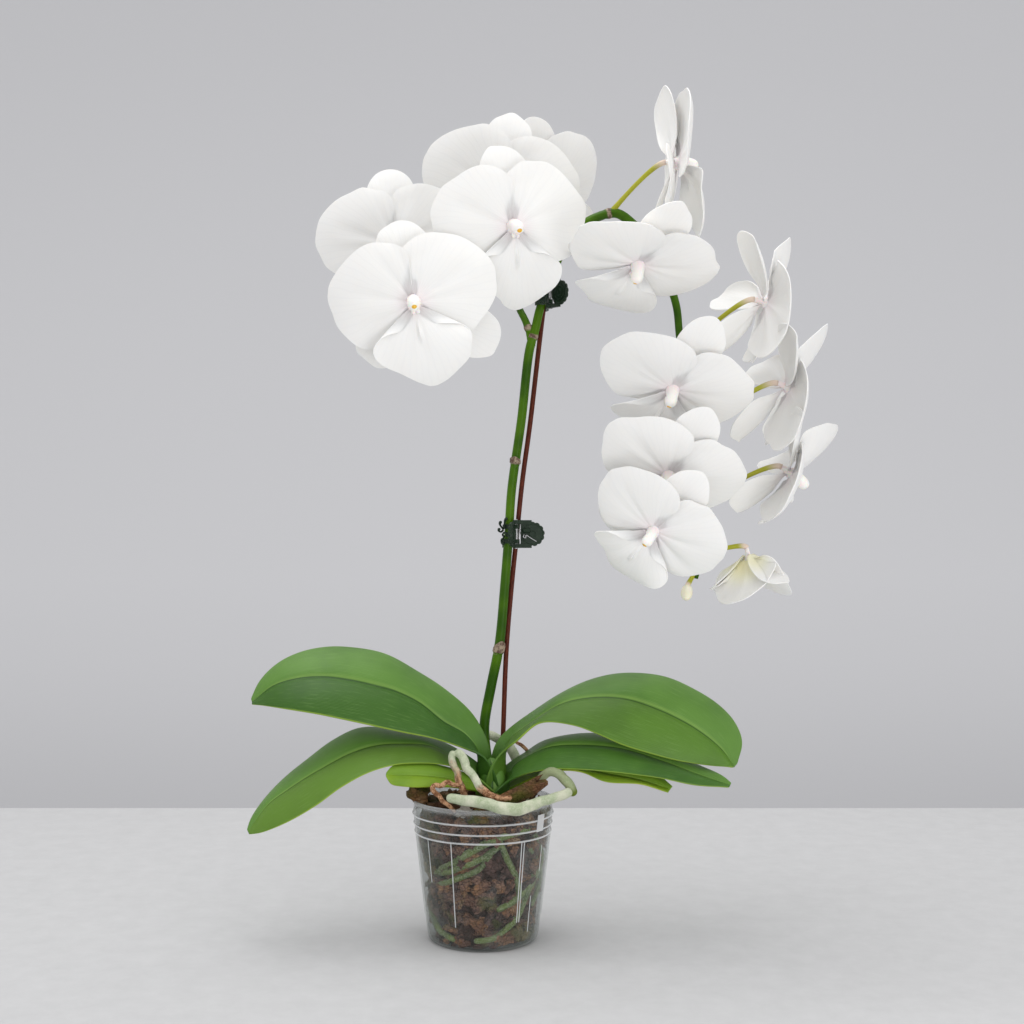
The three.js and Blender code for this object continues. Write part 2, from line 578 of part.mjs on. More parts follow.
const LEAVES = [
  { name: "leaf_left_upper", rows: 9, mid: [[2, 2, 163], [-15, 1, 175], [-34, 0, 185], [-55, -2, 202],
    [-75, -4, 212], [-92, -6, 217],
    [-113, -8, 222], [-135, -10, 225], [-157, -12, 224], [-178, -14, 218], [-196, -16, 204]],
  far: [[2, 9, 172], [-11, 16, 192], [-34, 24, 211], [-57, 28, 225], [-87, 28, 241], [-117, 26, 247],
    [-138, 20, 248],
    [-160, 13, 244], [-178, 5, 235], [-191, -5, 221], [-197, -14, 206]],
  near: [[2, -6, 158], [-12, -12, 163], [-39, -20, 173], [-68, -26, 180], [-103, -32, 189],
    [-136, -34, 196], [-166, -30, 200],
    [-186, -22, 202], [-196, -17, 202.5]] },
  { name: "leaf_left_lower", rows: 9, mid: [[2, -2, 138], [-12, -3, 147], [-29, -4, 157], [-47, -6, 166],
    [-69, -10, 168], [-91, -14, 167],
    [-112, -18, 161], [-132, -22, 151], [-150, -26, 141], [-164, -30, 132], [-179, -34, 121],
    [-195, -40, 99]],
  far: [[2, 6, 143], [-11, 10, 153], [-38, 14, 167], [-73, 17, 175], [-106, 14, 178], [-130, 8, 168],
    [-151, 1, 153],
    [-168, -8, 140], [-182, -18, 126], [-193, -32, 110], [-196, -39, 100.5]],
  near: [[2, -9, 135], [-11, -12, 143], [-28, -15, 150], [-54, -22, 153], [-74, -30, 153],
    [-95, -36, 148], [-117, -42, 137],
    [-138, -46, 122], [-162, -46, 108], [-184, -43, 99], [-194, -41, 97.5]] },
  { name: "leaf_left_small", rows: 5, mid: [[2, -6, 128], [-14, -14, 136], [-38, -22, 142],
    [-60, -28, 143], [-79, -32, 142]],
  far: [[2, -2, 131], [-14, -6, 140], [-38, -12, 147], [-62, -20, 149], [-80, -31, 144]],
  near: [[2, -9, 126], [-14, -20, 132], [-40, -30, 136], [-66, -36, 136], [-79.5, -33, 140]] },
  { name: "leaf_right_upper", rows: 9, mid: [[11, 3, 158], [20, 3, 168], [36, 2, 180], [66, 0, 200],
    [89, -2, 206], [120, -6, 206], [150, -10, 197],
    [180, -14, 182], [202, -18, 165], [213, -22, 150]],
  far: [[11, 9, 166], [20, 14, 176], [44, 21, 192], [67, 26, 206], [91, 28, 217], [115, 28, 223],
    [138, 26, 224], [161, 22, 221],
    [183, 16, 212], [203, 7, 200], [216, -3, 186], [221, -12, 170], [215, -20, 152]],
  near: [[11, -4, 155], [18, -8, 163], [28, -11, 170], [48, -15, 186], [77, -21, 185], [96, -25, 179],
    [118, -29, 170],
    [141, -31, 163], [163, -31, 157], [193, -28, 152], [212, -24, 150.5]] },
  { name: "leaf_right_lower", rows: 9, mid: [[11, 0, 133], [20, -1, 143], [31, -3, 151], [44, -5, 159],
    [58, -7, 165], [79, -9, 167], [116, -14, 165],
    [150, -21, 156], [183, -31, 145], [207, -39, 138]],
  far: [[11, 6, 138], [20, 9, 147], [37, 14, 157], [52, 17, 166], [80, 17, 172], [110, 14, 172],
    [145, 2, 166], [178, -14, 153],
    [201, -31, 144.5], [208, -38, 139.5]],
  near: [[11, -7, 130], [20, -11, 136], [36, -16, 143], [58, -22, 148], [80, -28, 149], [110, -33, 148],
    [148, -39, 144],
    [177, -43, 138.5], [206, -40, 136.5]] },
  { name: "leaf_right_small", rows: 5, mid: [[11, 4, 124], [40, 4, 140], [70, -4, 148], [104, -14, 144],
    [132, -22, 140], [158, -30, 133]],
  far: [[11, 8, 126], [44, 14, 146], [80, 12, 153], [112, 4, 152], [142, -12, 147], [160, -29, 135]],
  near: [[11, 0, 122], [42, -4, 137], [66, -10, 145], [84, -15, 145], [104, -22, 138], [134, -28, 136.5],
    [156, -32, 130.5]] },
];
const LEAF_COLUMNS = [-1, -0.5, 0, 0.5, 1];
const LEAF_BULGE = 0.05;          // how far each half arches, as a share of its width

function leafRows(leaf) {
  const rails = [leaf.near, leaf.mid, leaf.far].map(curveThrough);
  const rows = [];
  for (let i = 0; i <= leaf.rows; i += 1) {
    const t = i / leaf.rows;
    const [near, mid, far] = rails.map((rail) => rail.getPointAt(t));
    rows.push(LEAF_COLUMNS.map((v) => {
      const edge = v < 0 ? near : far;
      const point = mid.clone().lerp(edge, Math.abs(v));
      const bulge = LEAF_BULGE * mid.distanceTo(edge) * 4 * Math.abs(v) * (1 - Math.abs(v));
      return point.add(new THREE.Vector3(0, -0.5, 0.85).multiplyScalar(bulge));
    }));
  }
  return rows;
}

// Stake: a slightly bowed rod from the bottom of the bark to just above the upper clip

const STAKE_LINE = curveThrough([[12, 30, 8], [15, 26, 118], [17, 24, 170], [20, 20, 245], [25, 17, 307],
  [29, 15, 345],
  [34, 14, 394], [41, 13, 446], [51, 12.5, 533], [54, 12.5, 556], [56, 12.5, 571]]);

// Bark: a bumpy packed mass with loose chips on top, cut clear of roots, crown, stalk and stake

function barkMass() {
  const random = seeded(3);
  const levels = [2.4, 8, 28, 48, 68, 88, 104, BARK_TOP];
  const around = 18;
  const profile = (z) => (z < 5 ? 40 : insideRadius(Math.min(z, 108)) - 0.6);
  const rows = levels.map((z, i) => {
    const row = [];
    for (let j = 0; j < around; j += 1) {
      const angle = (2 * Math.PI * j) / around;
      const dent = i === 0 || i === levels.length - 1 ? 0.5 : 0.3 + 3.4 * random();
      const r = profile(z) - dent;
      row.push(new THREE.Vector3(r * Math.cos(angle), r * Math.sin(angle), z));
    }
    return row;
  });
  for (const [share, rise] of [[0.72, 0.45], [0.4, 0.85]]) {
    rows.push(rows[levels.length - 1].map((p) =>
      new THREE.Vector3(p.x * share, p.y * share, BARK_TOP + BARK_MOUND * (rise + 0.4 * (random() - 0.5)))));
  }
  return solidOf(loft(rows, true));
}

function barkChip(at, size, turn, lean, tilt) {
  const chip = new THREE.BoxGeometry(...size);
  chip.rotateX(rad(tilt));
  chip.rotateY(rad(lean));
  chip.rotateZ(rad(turn));
  chip.translate(...at);
  return solidOf(chip);
}

function buildBark(rootHoles, crownHole) {
  const random = seeded(9);
  let bark = barkMass();
  for (let i = 0; i < CHIP_COUNT; i += 1) {
    const angle = (2 * Math.PI * (i + 0.6 * random())) / CHIP_COUNT;
    const ring = 26 + 22 * random();
    const at = [ring * Math.cos(angle), ring * Math.sin(angle), BARK_TOP + 1 + (48 - ring) * 0.18];
    const size = [14 + 10 * random(), 9 + 5 * random(), 6 + 3 * random()];
    bark = bark.add(barkChip(at, size, 360 * random(), 24 * (random() - 0.5), 24 * (random() - 0.5)));
  }
  // the large chip that leans to the right at the front, and the brown lobe over the left of the rim
  bark = bark.add(barkChip([30, -36, 130], [42, 15, 11], 8, -24, 20));
  bark = bark.add(barkChip([-46, -3, 122.6], [32, 11, 5.5], 4, 9, 0));
  // nothing reaches the pot: trim to a cylinder inside the rim, except above it
  const trim = new THREE.LatheGeometry([[0, 2], [43, 2], [46.5, 10], [POT_RIM_RADIUS - 3.4, 117.4],
    [POT_RIM_RADIUS - 3.2, POT_HEIGHT + GAP + 0.2], [66, POT_HEIGHT + GAP + 0.2], [66, 160], [0, 160]]
    .map(([r, z]) => new THREE.Vector2(r, z)), 28);
  trim.rotateX(Math.PI / 2);
  bark = bark.intersect(solidOf(trim));
  for (const root of WALL_ROOTS) bark = bark.add(wallRootSolid(root, 0));
  for (const root of WALL_ROOTS.slice(1, 4)) bark = bark.add(wallRootSolid(root, 180));
  const stakeHole = solidOf(stem(STAKE_LINE, () => STAKE_RADIUS + GAP, 7, 14));
  return bark.subtract(rootHoles).subtract(crownHole).subtract(stakeHole);
}

// Spring clips. Each has two jaws on an upright pin. A jaw is two thin bands that run from its
// knuckles round the stalk, and a round pad with a scalloped edge to squeeze.

// Flat strip of the given thickness along a line in the XY plane, from height low to high
function strip(points, thickness, low, high) {
  const line = curveThrough(points.map(([x, y]) => [x, y, 0]));
  const steps = 5;
  const left = [];
  const right = [];
  for (let i = 0; i <= steps; i += 1) {
    const p = line.getPointAt(i / steps);
    const t = line.getTangentAt(i / steps);
    left.push(new THREE.Vector2(p.x - (t.y * thickness) / 2, p.y + (t.x * thickness) / 2));
    right.push(new THREE.Vector2(p.x + (t.y * thickness) / 2, p.y - (t.x * thickness) / 2));
  }
  const outline = new THREE.Shape([...right, ...left.reverse()]);
  const geometry = new THREE.ExtrudeGeometry(outline, { depth: high - low, bevelEnabled: false });
  geometry.translate(0, 0, low);
  return solidOf(geometry);
}

function ringAround(outer, inner, low, high, sides = 8) {
  const profile = [[inner, low], [outer, low], [outer, high], [inner, high], [inner, low]];
  const geometry = new THREE.LatheGeometry(profile.map(([r, z]) => new THREE.Vector2(r, z)), sides);
  geometry.rotateX(Math.PI / 2);
  return solidOf(geometry);
}

// Scalloped pad that stands upright on the line from the pin at the given angle
function clipPad(angle) {
  const corners = [];
  for (let i = 0; i < CLIP.lobes * 2; i += 1) {
    const a = (Math.PI * (i + 0.5)) / CLIP.lobes;
    const r = CLIP.pad - (i % 2 ? CLIP.lobeDepth : 0);
    corners.push(new THREE.Vector2(r * Math.cos(a), r * Math.sin(a)));
  }
  const outline = new THREE.Shape(corners);
  const pad = new THREE.ExtrudeGeometry(outline, { depth: CLIP.padThickness, bevelEnabled: false });
  pad.rotateX(Math.PI / 2);
  pad.translate(CLIP.knuckle + 0.4 + CLIP.pad, CLIP.padThickness / 2, 0);
  pad.rotateZ(rad(angle));
  return solidOf(pad);
}

// One jaw: knuckles, bands and pad, in the clip's frame. `levels` is the height range of its bands
// and pathAt(z) the line of a band at the height z.
function clipJaw(pathAt, levels, padAngle) {
  const [low, high] = levels;
  const armEnd = CLIP.knuckle + CLIP.pad * (1 - Math.sqrt(1 - ((low + high) / 2 / CLIP.pad) ** 2)) + 2.5;
  const bore = new THREE.CylinderGeometry(CLIP.bore, CLIP.bore, 60, 8);
  bore.rotateX(Math.PI / 2);
  const parts = [];
  for (const [from, to] of [[low, high], [-high, -low]]) {
    parts.push(ringAround(CLIP.knuckle, CLIP.bore, from, to));
    const arm = new THREE.BoxGeometry(armEnd, 2.4, to - from);
    arm.translate(armEnd / 2, 0, (from + to) / 2);
    arm.rotateZ(rad(padAngle));
    parts.push(solidOf(arm), strip(pathAt((from + to) / 2), CLIP.band, from, to));
  }
  return joined(parts).subtract(solidOf(bore)).add(clipPad(padAngle));
}

const polar = (centre, distance, angles) =>
  angles.map((a) => [centre[0] + distance * Math.cos(rad(a)), centre[1] + distance * Math.sin(rad(a))]);

// Where a rising curve crosses the height z
function crossing(curve, z) {
  let [low, high] = [0, curve === STAKE_LINE ? 1 : 0.6];
  for (let i = 0; i < 24; i += 1) {
    const middle = (low + high) / 2;
    if (curve.getPoint(middle).z < z) low = middle;
    else high = middle;
  }
  return curve.getPoint(low);
}

// `lean` is the room left for the slant of stalk and stake within the height of a band
const CLIPS = [
  { name: "clip_lower", pin: [28.5, 3.5, 347], fixedPad: 0, movingPad: -105, stalkRadius: 3.9, lean: 0.15,
    stalkAngles: [-62, -100, -150, -190], passAngles: [], stakeAngles: [-20, 30, 80],
    closeAngles: [92, 150] },
  { name: "clip_upper", pin: [57, -5, 552.5], fixedPad: -52, movingPad: -118, stalkRadius: 3.7, lean: 0.7,
    stalkAngles: [-130, -165, 160], passAngles: [-25, 10, 45], stakeAngles: [-35, 20, 80, 130],
    closeAngles: [] },
];
const MOVING_START = [-2.2, 0.6];
const FIXED_START = [1.6, 2.2];

function buildClip(clip) {
  const aroundStalk = clip.stalkRadius + clip.lean + GAP + CLIP.band / 2;
  const aroundStake = STAKE_RADIUS + clip.lean / 2 + 0.6 + GAP + CLIP.band / 2;
  const fromPin = (curve, z) => {
    const p = crossing(curve, clip.pin[2] + z);
    return [p.x - clip.pin[0], p.y - clip.pin[1]];
  };
  const movingPath = (z) => [MOVING_START,
    ...polar(fromPin(MAIN_STALK, z), aroundStalk, clip.stalkAngles)];
  const fixedPath = (z) => [FIXED_START,
    ...polar(fromPin(MAIN_STALK, z), aroundStalk + 0.4, clip.passAngles),
    ...polar(fromPin(STAKE_LINE, z), aroundStake, clip.stakeAngles),
    ...polar(fromPin(MAIN_STALK, z), aroundStalk + 0.1, clip.closeAngles)];
  const group = new THREE.Group();
  group.position.set(...clip.pin);
  const fixed = clipJaw(fixedPath, CLIP.outer, clip.fixedPad);
  addMesh(`${clip.name}_jaw_fixed`, geometryOf(fixed), CLIP_GREEN, group);
  const moving = clipJaw(movingPath, CLIP.inner, clip.movingPad);
  addMesh(`${clip.name}_jaw_moving`, geometryOf(moving), CLIP_GREEN, group);
  const pin = new THREE.CylinderGeometry(CLIP.pin, CLIP.pin, 2 * CLIP.outer[1] + 1.2, 8);
  pin.rotateX(Math.PI / 2);
  addMesh(`${clip.name}_pin`, pin, STEEL, group);
  const leg = strip([[1.8, 1.9], [9, 1.9]], 0.8, -0.5, 0.5);
  const spring = ringAround(2.7, CLIP.bore, -CLIP.spring, CLIP.spring, 8);
  addMesh(`${clip.name}_spring`, geometryOf(spring.add(leg)), STEEL, group);
  plant.add(group);
}

// Assembly

addMesh("pot", geometryOf(buildPot()), CLEAR_PLASTIC);

const crown = crownSolid(0);
const crownHole = crownSolid(GAP);
const roots = rootSolids(0).subtract(crownHole);
const rootHoles = rootSolids(GAP);
addMesh("roots", geometryOf(roots), ROOT_SILVER);
addMesh("crown", geometryOf(crown), LEAF_GREEN);
addMesh("bark", geometryOf(buildBark(rootHoles, crownHole)), BARK);

for (const leaf of LEAVES) {
  const solid = solidOf(blade(leafRows(leaf), LEAF_THICKNESS)).subtract(crownHole);
  addMesh(leaf.name, geometryOf(solid), leaf.name.endsWith("small") ? YOUNG_LEAF_GREEN : LEAF_GREEN);
}

const mainStalk = stalkWithPedicels(MAIN_STALK, MAIN_JOINTS, "main", STALK_SIDES, 34, [4.0, 2.6]);
const branchStalk = stalkWithPedicels(BRANCH_STALK, BRANCH_JOINTS, "branch", STALK_SIDES - 1, 22,
  [3.1, 2.2]);
const branchHole = solidOf(stem(MAIN_STALK, () => 4.9, STALK_SIDES, 60));
const budStem = pedicel(MAIN_STALK, BUD, BUD.radii[2]);
addMesh("stalk_main", geometryOf(mainStalk.add(budStem).subtract(crownHole)), STALK_GREEN);
addMesh("stalk_branch", geometryOf(branchStalk.subtract(branchHole)), STALK_GREEN);

for (const bloom of BLOOMS) {
  const geometry = bloomGeometry(bloom);
  geometry.applyMatrix4(bloomFrame(bloom));
  addMesh(bloom.name, geometry, PETAL_WHITE);
}

const bud = new THREE.SphereGeometry(1, 7, 5);
bud.rotateX(Math.PI / 2);
bud.scale(...BUD.radii);
bud.applyMatrix4(bloomFrame(BUD));
addMesh("bud", bud, BUD_GREEN);

const stakeSection = new THREE.Shape(
  polar([0, 0], STAKE_RADIUS, [0, 60, 120, 180, 240, 300]).map(([x, y]) => new THREE.Vector2(x, y)));
const stake = new THREE.ExtrudeGeometry(stakeSection, { steps: 13, extrudePath: STAKE_LINE });
addMesh("stake", stake, STAKE_BROWN);

for (const clip of CLIPS) buildClip(clip);

export default plant;
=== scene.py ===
# %% [markdown]
# # A potted moth orchid
# The plant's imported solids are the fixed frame: they say where every leaf, bloom and stalk is. Each
# cell below adds the looks of one thing: its fine form, its veins and wrinkles, and its finish.
# Lengths are in millimetres in this file, and Blender's are in metres.

# %% Load the frame
import math
import random

import bpy
import numpy as np
from mathutils import Matrix, Vector


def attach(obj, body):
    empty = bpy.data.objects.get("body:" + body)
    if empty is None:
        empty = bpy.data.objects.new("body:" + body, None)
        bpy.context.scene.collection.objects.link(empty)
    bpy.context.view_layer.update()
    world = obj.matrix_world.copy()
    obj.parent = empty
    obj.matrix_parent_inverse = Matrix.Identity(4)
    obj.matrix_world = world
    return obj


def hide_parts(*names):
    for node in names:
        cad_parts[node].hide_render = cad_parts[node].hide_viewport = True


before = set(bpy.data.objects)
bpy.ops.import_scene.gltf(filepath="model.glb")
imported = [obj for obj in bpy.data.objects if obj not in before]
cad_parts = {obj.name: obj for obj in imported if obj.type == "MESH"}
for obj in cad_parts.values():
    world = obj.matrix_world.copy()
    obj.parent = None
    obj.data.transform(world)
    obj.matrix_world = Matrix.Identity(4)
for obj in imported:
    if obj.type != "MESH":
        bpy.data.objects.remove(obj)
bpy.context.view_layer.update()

MM = 0.001
BODY = "plant"

# %% [markdown]
# ## Camera, table and light
# The photograph was taken with a level camera a little over a metre in front of the plant, about
# halfway up it. The plant stands on a pale table, and a pale grey backdrop hangs well behind it. A large soft
# light overhead gives the leaves their sheen and the faint shadow round the pot, and a weaker one low
# at the front keeps the undersides of the blooms white.

# %% Camera
PHOTO_PX = 1024
FOCAL_PX = 1481
SENSOR = 36
scene = bpy.context.scene


def start(operator, **settings):
    """Adds something with nothing else selected, and returns it."""
    bpy.ops.object.select_all(action="DESELECT")
    operator(**settings)
    return bpy.context.object


def settle():
    """Puts a new object's place, turn and scale into its mesh."""
    bpy.ops.object.transform_apply(location=True, rotation=True, scale=True)


camera = start(bpy.ops.object.camera_add, location=(0.0249, -1.274, 0.366), rotation=(math.pi / 2, 0, 0))
camera.data.sensor_width = SENSOR
camera.data.lens = FOCAL_PX / PHOTO_PX * SENSOR
scene.camera = camera
scene.view_settings.view_transform = "Standard"
print("lens", round(camera.data.lens, 2), "mm")

# %% Helper for colours as they look on a screen
def colour(red, green, blue):
    """Red, green and blue from 0 to 255, as Blender's linear colour."""
    def linear(c):
        c /= 255
        return c / 12.92 if c <= 0.04045 else ((c + 0.055) / 1.055) ** 2.4
    return (linear(red), linear(green), linear(blue), 1)


# %% [markdown]
# ## Shader sums
# A shader is a web of small nodes. To keep it readable, a socket is wrapped in a small class whose
# + - * and ** add the Math nodes, and one method adds any other node from its type, its settings
# and its inputs.

# %% The two classes
class Value:
    """An output socket that can be used in sums."""

    def __init__(self, finish, socket):
        self.finish = finish
        self.socket = socket

    def sum(self, operation, first, second):
        return self.finish.add("Math", {"operation": operation}, {0: first, 1: second})

    def __add__(self, other): return self.sum("ADD", self, other)
    def __radd__(self, other): return self.sum("ADD", other, self)
    def __sub__(self, other): return self.sum("SUBTRACT", self, other)
    def __rsub__(self, other): return self.sum("SUBTRACT", other, self)
    def __mul__(self, other): return self.sum("MULTIPLY", self, other)
    def __pow__(self, other): return self.sum("POWER", self, other)


class Finish:
    """A material that is built node by node."""

    def __init__(self, name):
        self.material = bpy.data.materials.new(name)
        self.material.use_nodes = True
        self.tree = self.material.node_tree
        self.tree.nodes.clear()

    def add(self, kind, settings=None, inputs=None, out=0):
        """Adds a node and returns the output called `out`."""
        node = self.tree.nodes.new("ShaderNode" + kind)
        for name, setting in (settings or {}).items():
            if name == "stops":
                ramp = node.color_ramp
                while len(ramp.elements) < len(setting):
                    ramp.elements.new(0.5)
                for stop, (place, tint) in zip(ramp.elements, setting):
                    stop.position = place
                    stop.color = tint
            else:
                setattr(node, name, setting)
        for name, value in (inputs or {}).items():
            if isinstance(value, Value):
                self.tree.links.new(value.socket, node.inputs[name])
            else:
                node.inputs[name].default_value = value
        return Value(self, node.outputs[out])

    def mix(self, factor, first, second):
        """First to second as the factor goes from 0 to 1; a triple is a colour as seen on a screen."""
        first, second = (colour(*tint) if isinstance(tint, tuple) else tint for tint in (first, second))
        return self.add("Mix", {"data_type": "RGBA"}, {0: factor, 6: first, 7: second}, 2)

    def ramp(self, value, low, high):
        """0 where the value is `low`, 1 where it is `high`, smooth between."""
        return self.add("MapRange", {"interpolation_type": "SMOOTHSTEP"},
                        {"Value": value, "From Min": low, "From Max": high})

    def spot(self):
        """Place on the object, in metres."""
        return self.add("TexCoord", out=3)

    def read(self, name):
        """The number that mark() stored on the mesh under this name."""
        return self.add("Attribute", {"attribute_name": name}, out=2)

    def split(self, vector):
        """The three numbers of a vector."""
        first = self.add("SeparateXYZ", None, {"Vector": vector})
        return [Value(self, socket) for socket in first.socket.node.outputs]

    def stretched(self, where, scale):
        return self.add("Mapping", None, {"Vector": where, "Scale": scale})

    def noise(self, where, scale, detail=2.0, rough=0.5):
        return self.add("TexNoise", None,
                        {"Vector": where, "Scale": scale, "Detail": detail, "Roughness": rough})

    def bump(self, height, distance, strength=1.0):
        return self.add("Bump", None, {"Height": height, "Distance": distance, "Strength": strength})

    def surface(self, shader):
        """Ends the material with this shader."""
        output = self.tree.nodes.new("ShaderNodeOutputMaterial")
        self.tree.links.new(shader.socket, output.inputs["Surface"])
        return self.material

    def gloss(self, base, rough, more):
        return self.add("BsdfPrincipled", None, {"Base Color": base, "Roughness": rough, **more})

    def skin(self, base, rough, more):
        """Ends the material with a Principled shader; `more` holds its other sockets."""
        return self.surface(self.gloss(base, rough, more))


# %% [markdown]
# ## Table and backdrop
# The table is a pale matt sheet and the backdrop a pale grey wall behind it. The backdrop has
# painted shade: it darkens towards the bottom and a little towards the top. Both are stage, so
# they are no part of the plant.

# %% Table and backdrop
def stage_plane(name, size, place, turn, tint=None, mottled=0, painted_falloff=()):
    """Matt sheet of one mottled tint, or of painted shade by height: 0 is 0.4 m below the table, 1 is 1.6 m
    above.
    """
    plane = start(bpy.ops.mesh.primitive_plane_add, size=1, location=place, rotation=turn)
    plane.name = name
    plane.scale = (*size, 1)
    settle()
    look = Finish(name)
    where = look.spot()
    if painted_falloff:
        stops = [(z, colour(c, c, c + 3)) for z, c in painted_falloff]
        shade = look.add("ValToRGB", {"stops": stops}, {0: (look.split(where)[2] + 0.4) * 0.5})
    else:
        darker, lighter = (tuple(c + step for c in tint) for step in (-mottled, mottled))
        shade = look.mix(look.noise(where, 42, 6, 0.7), darker, lighter)
    plane.data.materials.append(look.skin(shade, 0.9, {"Specular IOR Level": 0.2}))


stage_plane("table", (6, 2.357), (0, -0.6215, 0), (0, 0, 0), (195, 195, 196), 9)
# The backdrop's shades by height are painted shade: darker towards the bottom and a little at the top.
stage_plane("backdrop", (7, 4), (0, 2.4, 1.1), (math.pi / 2, 0, 0),
            painted_falloff=[(0.02, 186), (0.15, 194), (0.3, 200), (0.6, 200), (0.94, 198)])

# %% Lights
def soft_light(name, place, aim, size, watts):
    light = start(bpy.ops.object.light_add, type="AREA", location=place)
    light.name = name
    light.data.shape = "DISK"
    light.data.size = size
    light.data.energy = watts
    light.visible_camera = False
    light.rotation_euler = (Vector(aim) - Vector(place)).to_track_quat("-Z", "Y").to_euler()


soft_light("overhead", (-0.15, 0.0, 2.0), (0.0, 0, 0.3), 1.5, 16)
soft_light("front", (0.38, -0.8, 0.17), (0.16, 0, 0.42), 0.5, 2.2)
scene.world = scene.world or bpy.data.worlds.new("air")
scene.world.use_nodes = True
sky = scene.world.node_tree.nodes["Background"]
sky.inputs["Color"].default_value = (1.0, 1.0, 1.0, 1)
sky.inputs["Strength"].default_value = 0.9

# %% [markdown]
# ## Grids, paths and tubes
# Petals, leaves, roots and stalks are all sheets: flat ones, or ones rolled into a tube. Blender's
# grid already has rows, columns and a UV map, so it is the start of each of them. Every corner of
# the grid, at (u, v), is moved to its place by a formula.

# %% Reading and writing points
def points_of(piece):
    """Places of a mesh's corners in millimetres."""
    places = np.empty(len(piece.data.vertices) * 3)
    piece.data.vertices.foreach_get("co", places)
    return places.reshape(-1, 3) / MM


def set_points(piece, places):
    piece.data.vertices.foreach_set("co", (np.asarray(places) * MM).ravel())
    piece.data.update()


def mark(piece, name, values):
    """Stores one number for every corner of the mesh, for its material to read."""
    layer = piece.data.attributes.new(name, "FLOAT", "POINT")
    layer.data.foreach_set("value", np.broadcast_to(values, len(piece.data.vertices)).astype(np.float32))


def only(piece):
    """Makes this the one selected object."""
    bpy.ops.object.select_all(action="DESELECT")
    piece.select_set(True)
    bpy.context.view_layer.objects.active = piece


def modify(piece, kind, **settings):
    """Adds a modifier and applies it."""
    only(piece)
    bpy.ops.object.modifier_add(type=kind)
    modifier = piece.modifiers[-1]
    for name, value in settings.items():
        setattr(modifier, name, value)
    bpy.ops.object.modifier_apply(modifier=modifier.name)


def join(pieces, name):
    only(pieces[0])
    for piece in pieces:
        piece.select_set(True)
    bpy.ops.object.join()
    pieces[0].name = name
    return pieces[0]


# %% The sheet
def sheet(name, along, across, place):
    """Grid whose corner (u, v), both from 0 to 1, goes to place(u, v)."""
    piece = start(bpy.ops.mesh.primitive_grid_add, x_subdivisions=along, y_subdivisions=across, size=1)
    piece.name = name
    flat = np.round(points_of(piece) * MM + 0.5, 6)
    set_points(piece, place(flat[:, 0], flat[:, 1]))
    bpy.ops.object.shade_smooth()
    return piece


# %% The path
class Path:
    """Smooth line through points. A place on it is a share of its length, from 0 to 1."""

    def __init__(self, points):
        given = np.array(points, float)
        self.knots = np.vstack([2 * given[0] - given[1], given, 2 * given[-1] - given[-2]])
        self.steps = np.linspace(0, 1, 201)
        spots = self.raw(self.steps)
        lengths = np.append(0, np.cumsum(np.linalg.norm(np.diff(spots, axis=0), axis=1)))
        self.length = lengths[-1]
        self.shares = lengths / self.length

    def raw(self, t):
        count = len(self.knots) - 3
        k = np.minimum((t * count).astype(int), count - 1)
        w = (t * count - k)[:, None]
        a, b, c, d = (self.knots[k + i] for i in range(4))
        ab, bc, cd = (np.sqrt(np.linalg.norm(q - p, axis=1, keepdims=True))
                      for p, q in ((a, b), (b, c), (c, d)))
        leave = ((b - a) / ab - (c - a) / (ab + bc) + (c - b) / bc) * bc
        arrive = ((c - b) / bc - (d - b) / (bc + cd) + (d - c) / cd) * bc
        return (b + leave * w + (3 * (c - b) - 2 * leave - arrive) * w**2
                + (2 * (b - c) + leave + arrive) * w**3)

    def at(self, share):
        return self.raw(np.interp(np.atleast_1d(share), self.shares, self.steps))

    def along(self, share):
        ahead = self.at(np.minimum(share + 0.002, 1)) - self.at(np.maximum(share - 0.002, 0))
        return ahead / np.linalg.norm(ahead, axis=1, keepdims=True)

    def nearest(self, places, steps):
        """How far along the path each place is, from 0 to 1."""
        fine = self.at(np.linspace(0, 1, steps + 1))
        return np.array([np.argmin(((fine - place) ** 2).sum(axis=1)) for place in places]) / steps

    def round(self, shares, which, r, turn, first=(0, 1, 0)):
        """Points at distance r and angle `turn` round the path; `which` picks a share for each of them."""
        tangents = self.along(shares)
        normals = []
        normal = np.array(first, float)
        for tangent in tangents:
            normal = normal - tangent * (normal @ tangent)
            normal /= np.linalg.norm(normal)
            normals.append(normal)
        normals = np.array(normals)
        sides = np.cross(tangents, normals)
        return (self.at(shares)[which] + (r * np.cos(turn))[:, None] * normals[which]
                + (r * np.sin(turn))[:, None] * sides[which])


# %% The tube
def merge(piece, distance):
    """Merges corners that are nearer to each other than this, in metres."""
    only(piece)
    bpy.ops.object.mode_set(mode="EDIT")
    bpy.ops.mesh.select_all(action="SELECT")
    bpy.ops.mesh.remove_doubles(threshold=distance)
    bpy.ops.object.mode_set(mode="OBJECT")


def close_up(piece):
    """Merges the seam of a rolled sheet and fills its open ends."""
    merge(piece, 2e-6)
    bpy.ops.object.mode_set(mode="EDIT")
    bpy.ops.mesh.select_all(action="DESELECT")
    bpy.ops.mesh.select_mode(type="EDGE")
    bpy.ops.mesh.select_non_manifold()
    bpy.ops.mesh.fill_holes(sides=0)
    bpy.ops.mesh.select_all(action="SELECT")
    bpy.ops.mesh.normals_make_consistent(inside=False)
    bpy.ops.mesh.select_mode(type="VERT")
    bpy.ops.object.mode_set(mode="OBJECT")
    bpy.ops.object.shade_smooth()


